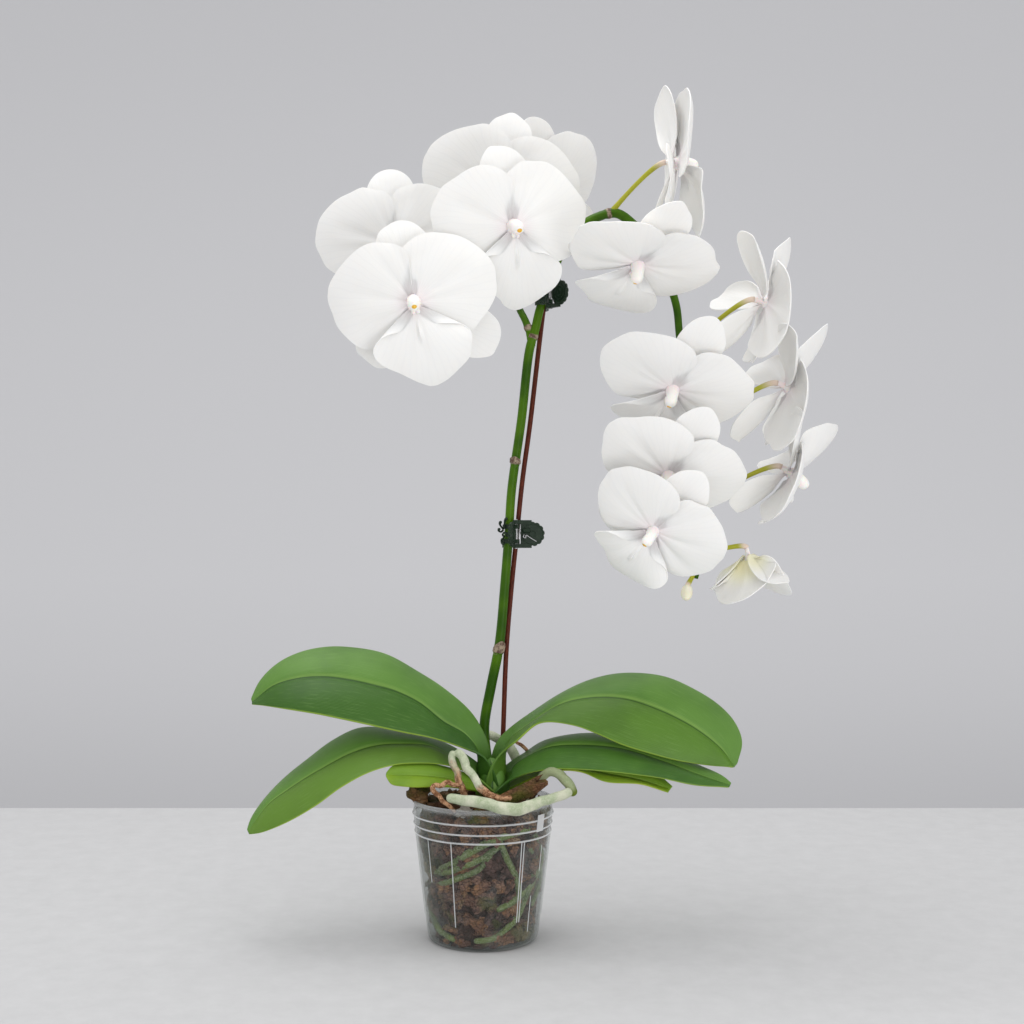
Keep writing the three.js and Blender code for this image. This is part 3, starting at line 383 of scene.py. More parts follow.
def tube(name, path, radius, steps, sides, round_ends=False, first=(0, 1, 0)):
    """Sheet rolled round a path: u runs along it and v round it. radius(share, turn) is in mm."""
    def place(u, v):
        rings, which = np.unique(u, return_inverse=True)
        shares = (1 - np.cos(math.pi * rings)) / 2 if round_ends else rings
        turn = 2 * math.pi * v
        r = radius(shares[which], turn)
        if round_ends:
            cap = np.minimum(shares, 1 - shares)[which] * path.length / np.maximum(r, 0.1)
            r = r * np.sqrt(np.clip(1 - (1 - np.minimum(cap, 1)) ** 2, 0, 1))
        return path.round(shares, which, r, turn, first)
    piece = sheet(name, steps, sides, place)
    close_up(piece)
    return piece


def through(values):
    """Function of a share that runs through the given values."""
    return lambda share: np.interp(share, np.linspace(0, 1, len(values)), values)


def bumpy(radii, seed, depth):
    """Radius along a root, with lumps of the given depth as a share of the radius."""
    plain = through(radii)
    turns = random.Random(seed)
    waves = [(turns.uniform(12, 60), turns.randint(1, 3), turns.uniform(0, 6)) for _ in range(5)]
    def radius(share, turn):
        lumps = sum(np.sin(a * share + b * turn + c) for a, b, c in waves) / len(waves)
        return plain(share) * (1 + depth * lumps)
    return radius


def paint(piece, material):
    piece.data.materials.clear()
    piece.data.materials.append(material)


def dress(piece, slot, *nodes, material=None, body=BODY):
    """Gives a finished piece its material and body, and hides the nodes that it stands for. Its slot is not
    used.
    """
    if material:
        paint(piece, material)
    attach(piece, body)
    if nodes:
        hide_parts(*nodes)
    print(piece.name, len(piece.data.polygons), "faces")


# %% [markdown]
# ## The clear pot
# The pot is thin clear plastic that has gone a little smoky. It is a turned shape, so it starts as
# a disc, the underside, whose rim is extruded and scaled ring by ring: up the outside, over the
# rolled rim and down the inside to the floor. Ribs, a tab and drain holes are joined to it or cut from
# it with Boolean modifiers. Seen straight on, such a wall passes most of the light, and at a
# slant it mirrors the room, so its shader mixes a see-through part with a glossy one.

# %% Pot measures
POT_HEIGHT = 121
RIM = 60.4
WALL = 1.1
DISC = 42
FOOT_RADIUS, FOOT_Z = 48, 9
TOP_RADIUS, TOP_Z = 57.6, 91
BEADS = [93.2, 100.4, 108.6]
# radius beside the wall and height beside the bead, from under it to over it
BEAD_SHAPE = [(-0.2, -1.4), (0.4, -0.9), (0.9, 0), (0.4, 0.8), (-0.1, 1.3)]


def wall_radius(z):
    return FOOT_RADIUS + (z - FOOT_Z) * (TOP_RADIUS - FOOT_RADIUS) / (TOP_Z - FOOT_Z)


OUTSIDE = [(43.6, 0.15), (45.6, 1.2), (46.9, 3), (47.6, 5.6), (FOOT_RADIUS, FOOT_Z), (52.8, 50)]
OUTSIDE += [(wall_radius(z) + 0.3 + out, z + up) for z in BEADS for out, up in BEAD_SHAPE]
OUTSIDE += [(RIM - 1.2, 117.6), (RIM - 0.3, 118.6), (RIM, 119.6), (RIM - 0.3, 120.7), (RIM - 1.1, POT_HEIGHT)]
INSIDE = [(RIM - 2.0, 120.7), (RIM - 2.3, 119.4), (RIM - 2.3, 117.6)]
INSIDE += [(wall_radius(z) - WALL, z) for z in (100.4, 80, 50, 20, 10)]
INSIDE += [(46, 5.4), (44.4, 2.8), (41.6, 1.6)]

# %% Pot wall
pot = start(bpy.ops.mesh.primitive_circle_add, vertices=128, radius=DISC * MM, fill_type="NGON")
pot.name = "clear_pot"
bpy.ops.object.mode_set(mode="EDIT")
last = (DISC, 0)
for r, z in OUTSIDE + INSIDE:
    bpy.ops.mesh.extrude_region_move(TRANSFORM_OT_translate={"value": (0, 0, (z - last[1]) * MM)})
    bpy.ops.transform.resize(value=(r / last[0], r / last[0], 1), center_override=(0, 0, 0))
    last = (r, z)
bpy.ops.object.mode_set(mode="OBJECT")
print("pot wall", len(pot.data.polygons), "faces; box", [round(x, 4) for x in pot.dimensions])

# %% Ribs, tab and drain holes
def wall_box(size, out, height, turn):
    """Box this far out and up, leaned with the wall and turned round the pot by `turn` degrees."""
    box = start(bpy.ops.mesh.primitive_cube_add, size=1)
    box.scale = [s * MM for s in size]
    place = Matrix.Translation(Vector((0, -out, height)) * MM)
    spin = Matrix.Rotation(math.radians(turn), 4, "Z")
    box.matrix_world = spin @ place @ Matrix.Rotation(WALL_LEAN, 4, "X") @ box.matrix_basis
    settle()
    return box


def boolean(piece, tools, operation):
    tool = join(tools, "tool") if len(tools) > 1 else tools[0]
    modify(piece, "BOOLEAN", operation=operation, solver="EXACT", object=tool, use_self=len(tools) > 1)
    bpy.data.objects.remove(tool)


WALL_LEAN = math.atan2(TOP_RADIUS - FOOT_RADIUS, TOP_Z - FOOT_Z)
RIB_TOP = 92.6
TAB_TURN = 54
HOLE_RADIUS, HOLE_RING = 4, 27
# turn from the front, foot and top of each rib, in degrees and mm
RIBS = [(-51, 56, RIB_TOP), (-26, 21, RIB_TOP), (34.6, 24, RIB_TOP), (37.2, 24, RIB_TOP), (50, 14, 45),
        (60, 64, 86)]
RIBS += [(turn, 21, RIB_TOP) for turn in range(90, 300, 30)]
ribs = [wall_box((0.9, 2.0, top - foot), wall_radius((foot + top) / 2) - 0.35, (foot + top) / 2, turn)
        for turn, foot, top in RIBS]
ribs.append(wall_box((9, 2, 14.2), wall_radius(105) + 0.1, 106, TAB_TURN))
holes = []
for i in range(6):
    across, deep = (HOLE_RING * MM * f(math.radians(60 * i + 30)) for f in (math.cos, math.sin))
    holes.append(start(bpy.ops.mesh.primitive_cylinder_add, vertices=24, radius=HOLE_RADIUS * MM, depth=8 * MM,
                       location=(across, deep, 0)))
    settle()
boolean(pot, ribs, "UNION")
boolean(pot, holes, "DIFFERENCE")
x, y, z = points_of(pot).T
proud = np.hypot(x, y) - wall_radius(z)
# Painted highlight: the bead rings, ribs and rim are marked for near-white lines of gloss.
ridge = np.where(z < 92.5, proud > 0.4, np.clip(proud / 0.9, 0, 1))
mark(pot, "ridge", np.where(z > 116, 0.75, ridge * (z > 12)))
only(pot)
bpy.ops.object.shade_smooth_by_angle(angle=math.radians(40))

# %% Clear plastic
look = Finish("smoky_clear_plastic")
spot = look.spot()
cloud = look.noise(spot, 60, 3, 0.6)
ridge = look.read("ridge")
through_light = look.add("BsdfTransparent", None, {"Color": (0.95, 0.96, 0.955, 1)})
wavy = look.bump(cloud, 0.0006, 0.3)
film = look.mix(cloud, (120, 126, 122), (178, 182, 180))
# Painted highlight: near-white gloss, with more gloss than see-through, along the marked beads, ribs and rim.
gloss = look.gloss(look.mix(look.ramp(ridge, 0.5, 1.0), film, (236, 238, 240)), 0.12,
                   {"Specular IOR Level": 0.6, "Normal": wavy})
slant = look.add("LayerWeight", None, {"Blend": 0.5, "Normal": wavy}, 1)
share = look.ramp(cloud, 0.45, 0.75) * 0.05 + 0.035 + slant ** 2 * 0.5 + look.ramp(ridge, 0.55, 1.0) * 0.5
POT_PLASTIC = look.surface(look.add("MixShader", None, {0: share, 1: through_light, 2: gloss}))
dress(pot, "clear_plastic", "pot", material=POT_PLASTIC)

# %% [markdown]
# ## Potting bark
# The pot is filled with chips of bark. They are flat and angular, they lie at all slants, and those
# at the wall show through it. One chip is a cube that is cut up and roughened in edit mode; it is
# copied a few hundred times along the wall and over the top, round a dark core.

# %% One chip
def make_chip(seed):
    chip = start(bpy.ops.mesh.primitive_cube_add, size=1)
    bpy.ops.object.mode_set(mode="EDIT")
    bpy.ops.mesh.subdivide(number_cuts=2)
    bpy.ops.transform.vertex_random(offset=0.13, uniform=0.6, normal=0.2, seed=seed)
    bpy.ops.mesh.quads_convert_to_tris()
    bpy.ops.object.mode_set(mode="OBJECT")
    shape = points_of(chip) * MM, [list(f.vertices) for f in chip.data.polygons]
    bpy.data.objects.remove(chip)
    return shape


CHIPS = [make_chip(seed) for seed in (1, 2, 3, 4)]
BARK_TOP = 114
MOUND = 7
CHIPS_AT_WALL, CHIPS_ON_TOP = 560, 120
GOLDEN = 0.618034


def inside_radius(z):
    return wall_radius(min(z, 108)) - 2.0


# %% Chips along the wall and on top
def copies(name, shapes):
    """One mesh out of many: a list of (corners in mm, faces, tone)."""
    corners, faces, tones, count = [], [], [], 0
    for places, sides, tone in shapes:
        corners.append(places)
        faces += [[i + count for i in side] for side in sides]
        tones.append(np.full(len(places), tone))
        count += len(places)
    mesh = bpy.data.meshes.new(name)
    mesh.from_pydata((np.vstack(corners) * MM).tolist(), [], faces)
    piece = bpy.data.objects.new(name, mesh)
    scene.collection.objects.link(piece)
    mark(piece, "tone", np.concatenate(tones))
    return piece


def turned(places, size, spins, to):
    x, y, z = (math.radians(a) for a in spins)
    spin = np.array(Matrix.Rotation(z, 3, "Z") @ Matrix.Rotation(y, 3, "Y") @ Matrix.Rotation(x, 3, "X"))
    return (places * size) @ spin.T + to


chance = random.Random(11)
bits = []
for i in range(CHIPS_AT_WALL):
    z = 5 + 106 * ((i * GOLDEN) % 1)
    angle = chance.uniform(0, 360)
    size = (chance.uniform(6, 16), chance.uniform(3, 6), chance.uniform(4, 9))
    places, faces = CHIPS[i % 4]
    spins = [chance.uniform(-a, a) for a in (25, 70, 18)]
    chip = turned(places, size, spins, (0, 0, 0))
    depth = inside_radius(z) - chance.uniform(3.5, 7.0)
    chip = turned(chip + (0, -depth, 0), 1, (0, 0, angle), (0, 0, z))
    bits.append((chip, faces, chance.random()))
for i in range(CHIPS_ON_TOP):
    angle, ring = chance.uniform(0, 2 * math.pi), 54 * math.sqrt(chance.random())
    lift = BARK_TOP - 2 + MOUND * (1 - (ring / 56) ** 2) + chance.uniform(-2, 2.5)
    size = (chance.uniform(9, 22), chance.uniform(6, 13), chance.uniform(3, 6.5))
    places, faces = CHIPS[i % 4]
    spins = chance.uniform(-28, 28), chance.uniform(-28, 28), chance.uniform(0, 360)
    chip = turned(places, size, spins, (ring * math.cos(angle), ring * math.sin(angle), lift))
    bits.append((chip, faces, 1.4 if i % 17 == 3 else chance.random()))
# the long chip that leans to the right at the front, and the brown lobe over the left of the rim
bits.append((turned(CHIPS[1][0], (44, 12, 7), (28, -26, 8), (30, -34, 130)), CHIPS[1][1], 0.8))
bits.append((turned(CHIPS[2][0], (17, 15, 14), (20, 30, 4), (-55, -12, 125.5)), CHIPS[2][1], 0.95))
bark = copies("bark_chips", bits)


def keep_inside(places):
    """Draws corners that would reach the pot back to just inside its wall."""
    r = np.hypot(places[:, 0], places[:, 1])
    z = places[:, 2]
    room = np.where(z < 119.5, wall_radius(np.minimum(z, 112)) - 1.7, 66)
    room = np.where(z < 10, np.minimum(room, 42 + z * 0.4), room)
    pull = np.minimum(1, room / np.maximum(r, 0.1))
    return np.column_stack([places[:, 0] * pull, places[:, 1] * pull, np.maximum(z, 2.2)])


set_points(bark, keep_inside(points_of(bark)))

# %% Dark core behind the chips
core = tube("bark_core", Path([(0, 0, 2.6), (0, 0, 60), (0, 0, BARK_TOP + 3)]),
            lambda share, turn: 39 + 11 * share - 3 * np.cos(5 * turn + 9 * share) ** 2, 40, 48)
# The core's low tone is painted shade in the gaps between the chips.
mark(core, "tone", 0.1)
bark = join([bark, core], "bark_chips")
only(bark)
bpy.ops.object.shade_smooth_by_angle(angle=math.radians(28))

# %% Bark finish
look = Finish("orchid_bark")
spot = look.spot()
tone = look.read("tone")
grain = look.noise(look.stretched(spot, (1, 1, 2.6)), 330, 6, 0.7)
patch = look.noise(spot, 70, 3, 0.6)
browns = [(0.0, colour(64, 46, 40)), (0.3, colour(112, 86, 82)), (0.55, colour(150, 112, 96)),
          (0.8, colour(172, 124, 88)), (1.0, colour(190, 160, 128))]
shades = look.add("ValToRGB", {"stops": browns}, {0: tone * 0.75 + (patch - 0.5) * 1.1 + 0.1})
brown = look.mix(look.ramp(grain, 0.36, 0.6), look.mix(0.6, shades, (40, 28, 24)), shades)
cracks = look.add("TexVoronoi", {"feature": "DISTANCE_TO_EDGE"}, {"Vector": spot, "Scale": 210})
brown = look.mix(look.ramp(cracks, 0.0, 0.09), look.mix(0.6, brown, (34, 24, 20)), brown)
brown = look.mix(look.ramp(tone, 1.1, 1.3), brown, (222, 220, 212))
across, _, high = look.split(spot)
# The top of the bark, under the leaves, is darker: partly a darker, mossier tone of its own, partly painted
# shade.
upper = look.ramp(high, 0.104, 0.118)
brown = look.mix(upper * 0.62, brown, look.mix(patch, (40, 28, 14), (96, 62, 30)))
left = 1 - look.ramp(across, -0.052, -0.02)
moss = look.ramp(look.noise(spot, 38, 2, 0.5), 0.56 - upper * 0.1 - left * 0.14, 0.68) * (upper * 0.2 + 0.6)
brown = look.mix(moss, brown, look.mix(upper, (96, 104, 58), (66, 74, 22)))
BARK = look.skin(brown, 0.85, {"Specular IOR Level": 0.12, "Normal": look.bump(
    grain + look.ramp(cracks, 0.0, 0.12) * 0.6, 0.0016, 0.8)})
dress(bark, "bark", "bark", material=BARK)

# %% [markdown]
# ## Roots
# An orchid's roots are cords with a spongy silver-green skin. Those in the pot press against its wall
# and look greener, because they are damp. The aerial ones are paler, lumpy and dry at their ends.
# Each is a tube along a smooth path whose radius has gentle lumps.

# %% Root finish
def root_finish(name, pale, green, dry, pale_dry, rough):
    look = Finish(name)
    spot = look.spot()
    fine = look.noise(spot, 900, 4, 0.7)
    broad = look.noise(spot, 85, 3, 0.6)
    wither = look.read("dry")
    skin = look.mix(look.ramp(broad, 0.3, 0.7), green, pale)
    skin = look.mix(look.ramp(fine, 0.35, 0.75) * 0.4, skin, (226, 226, 206))
    scurf = look.ramp(fine * 0.5 + look.noise(spot, 260, 3, 0.6) * 0.5, 0.42, 0.58)
    skin = look.mix(look.ramp(wither + (broad - 0.5) * 0.7, 0.35, 0.65), skin, look.mix(scurf, dry, pale_dry))
    raw = look.read("raw")
    skin = look.mix(look.ramp(raw + (broad - 0.5) * 0.6, 0.2, 1.0), skin, (96, 112, 34))
    return look.skin(skin, rough, {
        "Specular IOR Level": 0.2, "Normal": look.bump(fine * 0.5 + broad, 0.0012, 0.45)})


AIR_ROOT = root_finish("silver_root_skin", (198, 200, 178), (150, 164, 130), (104, 66, 40),
                       (188, 146, 112), 0.62)
POT_ROOT = root_finish("damp_root_skin", (98, 118, 34), (52, 76, 8), (96, 72, 44),
                       (126, 100, 70), 0.5)

# %% Roots along the wall of the pot, given by where they show from the front: across and height
WALL_ROOTS = [
    (3.0, [(-49, 60), (-30, 66), (-15, 73), (0, 80), (15, 90)]),
    (2.6, [(-48, 50), (-30, 57), (-16, 64), (-2, 71), (8, 84)]),
    (2.8, [(31, 46), (28, 62), (21, 78), (14, 96)]),
    (2.8, [(-7, 9), (9, 11), (18, 17), (28, 26), (38, 47), (50, 70), (44, 96)]),
    (2.3, [(41, 33), (47, 46), (51, 60), (40, 84)]),
    (3.3, [(-36, 66), (-22, 76), (-8, 86), (12, 96), (40, 101)]),
    (2.8, [(-45, 32), (-42, 22), (-35, 13), (-22, 8)]),
    (3.0, [(12, 35), (23, 40), (34, 47), (44, 60)]),
]


def wall_root(number, radius, places, turn):
    route = []
    for x, z in places:
        r = inside_radius(z) - radius
        angle = math.asin(max(-0.98, min(0.98, x / r))) + math.radians(turn)
        route.append((r * math.sin(angle), -r * math.cos(angle), z))
    radii = [radius * 0.85, radius, radius, radius * 0.85]
    cord = tube(f"wall_root_{number}", Path(route), bumpy(radii, number, 0.1), 36, 12, True)
    mark(cord, "dry", 0.0)
    return cord


cords = [wall_root(i, r, places, 0) for i, (r, places) in enumerate(WALL_ROOTS)]
cords += [wall_root(i + 10, r, places, 180) for i, (r, places) in enumerate(WALL_ROOTS[1:4])]
wall_roots = join(cords, "wall_roots")
set_points(wall_roots, keep_inside(points_of(wall_roots)))
dress(wall_roots, "root", material=POT_ROOT)

# %% Aerial roots: radii, points and how dry each is along its length
AERIAL = [
    ([4.2, 4.7, 5.0, 5.2, 4.6, 4.0, 4.0],
     [(-29, -49, 130), (-20, -53, 129), (-10, -57, 128.5), (0, -61, 128), (11, -65, 126), (22, -66.5, 123.5),
      (31, -65, 123.5), (41, -59, 125.5), (51, -51, 127.5), (62, -43, 129), (74.5, -33, 132)],
     [0.3, 0.15, 0.1, 0.15, 0.05, 0.25, 0.1, 0.0, 0.1]),
    ([4.3, 4.4, 4.3, 4.0, 4.0, 4.2, 4.4],
     [(77, -31, 127.5), (74.5, -29.5, 134), (70, -26.5, 140), (63, -23, 145.5), (56, -20, 146), (48, -16, 138),
      (38, -12, 126), (26, -8, 116), (9, 1, 109)],
     [0.1, 0.2, 0.15, 0.1, 0.2]),
    ([3.6, 3.8, 3.4, 3.4, 2.6, 2.2],
     [(-23, -29, 165), (-17, -31, 161), (-13, -35, 152), (-6, -39, 144), (-2, -42, 137), (6, -46, 131.5),
      (16, -50, 129.5), (25, -53, 130.5)],
     [0.1, 0.0, 0.1, 0.2, 0.5, 0.8, 0.8, 0.9]),
    ([3.6, 3.0, 3.0, 3.4],
     [(-23, -29, 165), (-25.5, -29.5, 160), (-24, -30.5, 153), (-20.5, -33, 147.5), (-20, -35, 141),
      (-17, -36, 136), (-14, -30, 124), (-4, -12, 114), (8, 2, 108)],
     [0.3, 0.5, 0.7, 0.8, 0.8, 0.8]),
    ([3.6, 4.2, 4.4, 4.2, 3.6],
     [(12, 6, 110), (25, 20, 124), (30, 27, 142), (23, 33, 158), (8, 34, 168), (-6, 33.5, 170)],
     [0.5, 0.2, 0.0, 0.0]),
    ([1.6, 1.8, 1.5],
     [(18, 8, 112), (34, 12, 132), (42, 15, 150), (35, 19, 161), (28, 21, 165)],
     [0.9, 0.9]),
    ([2.4, 2.2, 2.0, 1.8],
     [(-18, -36, 138.5), (-24, -38, 138.2), (-29, -39, 141), (-34, -40, 138), (-39.5, -41, 138.6),
      (-41.5, -42, 136.6), (-40, -43, 133.5), (-35, -44.5, 130), (-33, -45, 126.5), (-27, -46.5, 122.5),
      (-22, -46.5, 117)],
     [0.9, 0.85, 0.9, 0.8, 0.9]),
]
# the green tip of the front root, and how green the first two cords go towards the right
GREEN_TIP = (78, -31, 128)
RIGHT_GREEN = {0: 0.2, 1: 0.62}
cords = []
for number, (radii, points, dry) in enumerate(AERIAL):
    path = Path(points)
    round_one = bumpy(radii, 40 + number, 0.12)
    withered = through(dry)
    def shrunk(share, turn):
        """Radius that goes flat and wrinkled where the root has dried."""
        flat = withered(share)
        return round_one(share, turn) * (1 - 0.32 * flat * (1 - np.cos(2 * turn + 5 * share)) / 2
                                         + 0.10 * flat * np.cos(5 * turn + 9 * share))
    cord = tube(f"aerial_root_{number}", path, shrunk, int(path.length / 1.3), 22, True)
    places = points_of(cord)
    mark(cord, "dry", withered(path.nearest(places, 59)))
    mark(cord, "raw", np.exp(-(np.linalg.norm(places - GREEN_TIP, axis=1) / 4.5) ** 2)
         + RIGHT_GREEN.get(number, 0) * np.clip((places[:, 0] - 20) / 30, 0, 1))
    cords.append(cord)
plate = start(bpy.ops.mesh.primitive_ico_sphere_add, subdivisions=3, radius=9 * MM,
              location=(8 * MM, 2 * MM, 108 * MM))
settle()
mark(plate, "dry", 0.6)
mark(plate, "raw", 0.0)
air_roots = join([*cords, plate], "aerial_roots")
dress(air_roots, "root", "roots", material=AIR_ROOT)

# %% [markdown]
# ## Leaves and crown
# A moth orchid leaf is a thick, smooth strap with a groove along its middle. Three paths give each
# leaf: its near edge, its midrib and its far edge. They start low on the crown, where the leaf's base
# clasps the ones inside it. A grid is stretched over them, arched a little between them, and given
# its thickness by a Solidify modifier; a Subdivision Surface rounds the edges.
# Fine lines run along the leaf, so the finish reads the grid's UV map.

# %% Leaf finish
def leaf_finish(name, light, dark, far_half_painted_light, edge):
    look = Finish(name)
    uv = look.add("UVMap")
    u, v, _ = look.split(uv)
    spot = look.spot()
    broad = look.noise(spot, 16, 3, 0.55)
    lines = look.add("TexWave", {"bands_direction": "Y"},
                     {"Vector": uv, "Scale": 21, "Distortion": 1.0, "Detail": 2, "Detail Scale": 0.6}, 1)
    from_rib = look.add("Math", {"operation": "ABSOLUTE"}, {0: v - 0.5})
    middle = 1 - look.ramp(from_rib, 0.0, 0.014)
    rim = look.ramp(from_rib, 0.482, 0.499) * look.ramp(u, 0.14, 0.26)
    # Painted light and sheen: the far half, which slopes up towards the light, has tones of its own.
    far_half = look.ramp(v, 0.49, 0.55)
    light = look.mix(far_half, light, far_half_painted_light)
    deep = look.mix(far_half, dark, look.mix(0.5, dark, far_half_painted_light))
    skin = look.mix(look.ramp(broad * 0.8 + u * 0.2, 0.3, 0.65), deep, light)
    # Painted light and shade: the near half of some leaves is made darker or lighter.
    own = look.read("own")
    skin = look.mix((1 - far_half) * look.ramp(own, 0, -1), skin, (34, 74, 8))
    skin = look.mix((1 - far_half) * look.ramp(own, 0, 1), skin, (140, 172, 60))
    skin = look.mix(lines * 0.2, skin, look.mix(0.5, dark, (20, 50, 10)))
    blotch = look.ramp(look.noise(look.stretched(uv, (5, 22, 1)), 3, 4, 0.6), 0.5, 0.72)
    skin = look.mix(blotch * 0.22, skin, look.mix(0.5, light, (150, 184, 110)))
    # Painted highlight: a light line along the ridge beside the midrib.
    ridge = look.ramp(v, 0.512, 0.522) * (1 - look.ramp(v, 0.522, 0.56))
    skin = look.mix(ridge * 0.3, skin, (150, 184, 90))
    # Painted shade: a dark line in the groove of the midrib.
    skin = look.mix(middle * 0.85, skin, look.mix(0.6, dark, (16, 40, 8)))
    skin = look.mix(rim * 0.55, skin, edge)
    fine = look.noise(spot, 700, 3, 0.6)
    return look.skin(skin, 0.33 + broad * 0.1, {
        "Specular IOR Level": 0.28, "Coat Weight": 0.03, "Coat Roughness": 0.25,
        "Normal": look.bump(lines * 0.5 + fine * 0.25 - middle * 0.7, 0.0006, 0.35)})


LEAF_GREEN = leaf_finish("leaf_green", (70, 114, 30), (44, 84, 20), (94, 136, 54), (172, 200, 74))
YOUNG_GREEN = leaf_finish("young_leaf_green", (134, 164, 34), (82, 126, 26), (120, 156, 40),
                          (186, 196, 60))

# %% Leaf shapes: near edge, midrib and far edge of each, from the crown to the tip
LEAVES = {
    "leaf_left_upper": (
        [(14, -9, 131), (9, -10.5, 146), (1, -9.5, 157), (-12, -12, 163), (-39, -20, 173), (-68, -26, 180),
         (-103, -32, 189), (-136, -34, 196), (-166, -30, 200), (-186, -22, 202), (-196, -17, 202.5)],
        [(-3, 1, 124), (-5, 1, 142), (-6, 1, 160), (-16, 1, 174), (-34, 0, 185), (-55, -2, 202), (-75, -4, 212),
         (-92, -6, 217), (-113, -8, 222), (-135, -10, 225), (-157, -12, 224), (-178, -14, 218),
         (-196, -16, 204)],
        [(14, 11, 133), (8, 12, 152), (1, 12, 173), (-11, 16, 192), (-34, 24, 211), (-57, 28, 225),
         (-87, 28, 241), (-117, 26, 247), (-138, 20, 248), (-160, 13, 244), (-178, 5, 235), (-191, -5, 221),
         (-197, -14, 206)]),
    "leaf_left_lower": (
        [(18, -11, 122), (9, -13, 129), (-1, -12, 137), (-11, -12, 143), (-28, -15, 150), (-54, -22, 153),
         (-74, -30, 153), (-95, -36, 148), (-117, -42, 137), (-138, -46, 122), (-162, -46, 108),
         (-184, -43, 99), (-194, -41, 97.5)],
        [(-6, 0, 118), (-7, -1, 130), (-12, -3, 146), (-29, -4, 157), (-47, -6, 166), (-69, -10, 168),
         (-91, -14, 167), (-112, -18, 161), (-132, -22, 151), (-150, -26, 141), (-164, -30, 132),
         (-179, -34, 121), (-195, -40, 99)],
        [(14, 12, 124), (4, 11, 140), (-11, 10, 153), (-38, 14, 167), (-73, 17, 175), (-106, 14, 178),
         (-130, 8, 168), (-151, 1, 153), (-168, -8, 140), (-182, -18, 126), (-193, -32, 110),
         (-196, -39, 100.5)]),
    "leaf_left_small": (
        [(2, -9, 126), (-14, -20, 131), (-40, -30, 135), (-64, -36, 136), (-76, -36, 138), (-80.5, -33, 143.5)],
        [(2, -6, 128), (-14, -14, 136), (-38, -22, 142.5), (-60, -28, 145), (-74, -31, 145.5),
         (-81, -32, 145.5)],
        [(2, -2, 131), (-14, -6, 142), (-38, -12, 150), (-62, -20, 153), (-75, -27, 152.5),
         (-80.5, -31, 147.5)]),
    "leaf_right_upper": (
        [(1, -11, 127), (4, -12, 142), (11, -10, 155), (19, -9, 163), (28, -11, 170), (48, -15, 186),
         (77, -21, 185), (96, -25, 179), (118, -29, 170), (141, -31, 163), (163, -31, 157), (193, -28, 152),
         (212, -24, 150.5)],
        [(19, 2, 122), (20, 3, 140), (20, 3, 158), (24, 3, 170), (36, 2, 180), (66, 0, 200), (89, -2, 206),
         (120, -6, 206), (150, -10, 197), (180, -14, 182), (202, -18, 165), (213, -22, 150)],
        [(2, 13, 130), (6, 14, 150), (12, 13, 167), (22, 15, 177), (44, 21, 192), (67, 26, 206), (91, 28, 217),
         (115, 28, 223), (138, 26, 224), (161, 22, 221), (183, 16, 212), (203, 7, 200), (216, -3, 186),
         (221, -12, 170), (215, -20, 152)]),
    "leaf_right_lower": (
        [(-1, -12, 120), (6, -14, 124), (13, -13, 130), (22, -12, 136), (36, -16, 143), (58, -22, 148),
         (80, -28, 149), (110, -33, 148), (148, -39, 144), (177, -43, 138.5), (206, -40, 136.5)],
        [(22, 0, 118), (23, -1, 132), (26, -2, 145), (32, -3, 151.5), (44, -5, 159), (58, -7, 165),
         (79, -9, 167), (116, -14, 165), (150, -21, 156), (183, -31, 145), (207, -39, 138)],
        [(2, 13, 124), (11, 12, 138), (21, 11, 147), (37, 14, 157), (52, 17, 166), (80, 17, 172),
         (110, 14, 172), (145, 2, 166), (178, -14, 153), (201, -31, 144.5), (208, -38, 139.5)]),
    "leaf_right_small": (
        [(11, 0, 122), (42, -4, 137), (66, -10, 145), (84, -15, 145), (104, -22, 138), (134, -28, 136.5),
         (156, -32, 130.5)],
        [(11, 4, 124), (40, 4, 140), (70, -4, 148), (104, -14, 144), (132, -22, 140), (158, -30, 133)],
        [(11, 8, 126), (44, 14, 146), (80, 12, 153), (112, 4, 152), (142, -12, 147), (160, -29, 135)]),
}


# %% Leaves
LEAF_THICKNESS = 1.9


def leaf_sheet(name, rails):
    near, middle, far = (Path(rail) for rail in rails)
    def place(u, v):
        v = 2 * v - 1
        rib = middle.at(u)
        edge = np.where(v[:, None] < 0, near.at(u), far.at(u))
        wide = np.linalg.norm(edge - rib, axis=1)
        grown = np.clip((u - 0.12) / 0.2, 0, 1)
        ripple = 0.4 * grown * np.sin(11 * u + 2 * v) * v**2
        arch = (0.05 + 0.05 * grown) * wide * 4 * abs(v) * (1 - abs(v)) + ripple
        groove = 1.5 * np.exp(-((v * wide / 2.6) ** 2)) * np.sin(math.pi * u) ** 0.5
        outwards = np.where(rib[:, :1] < 8, -1.0, 1.0) * (1 - grown)[:, None] * (1, 0, 0)
        up = grown[:, None] * (0, -0.5, 0.85)
        return rib + (edge - rib) * abs(v)[:, None] + (arch - groove)[:, None] * (outwards + up)
    leaf = sheet(name, 80, 26, place)
    modify(leaf, "SOLIDIFY", thickness=LEAF_THICKNESS * MM, offset=0)
    modify(leaf, "SUBSURF", levels=1, render_levels=1)
    return leaf


# painted light and shade on the near half of a leaf: how much lighter (to 1) or darker (to -1) than the rest it
# is
LEAF_NEAR_HALF_PAINTED_LIGHT = {"leaf_left_upper": -0.5, "leaf_left_lower": 0.34, "leaf_right_upper": 0.24}
for node, rails in LEAVES.items():
    young = node.endswith("small")
    strap = leaf_sheet(node.replace("leaf", "strap_leaf"), rails)
    mark(strap, "own", LEAF_NEAR_HALF_PAINTED_LIGHT.get(node, 0))
    dress(strap, "young_leaf" if young else "leaf", node, material=YOUNG_GREEN if young else LEAF_GREEN)

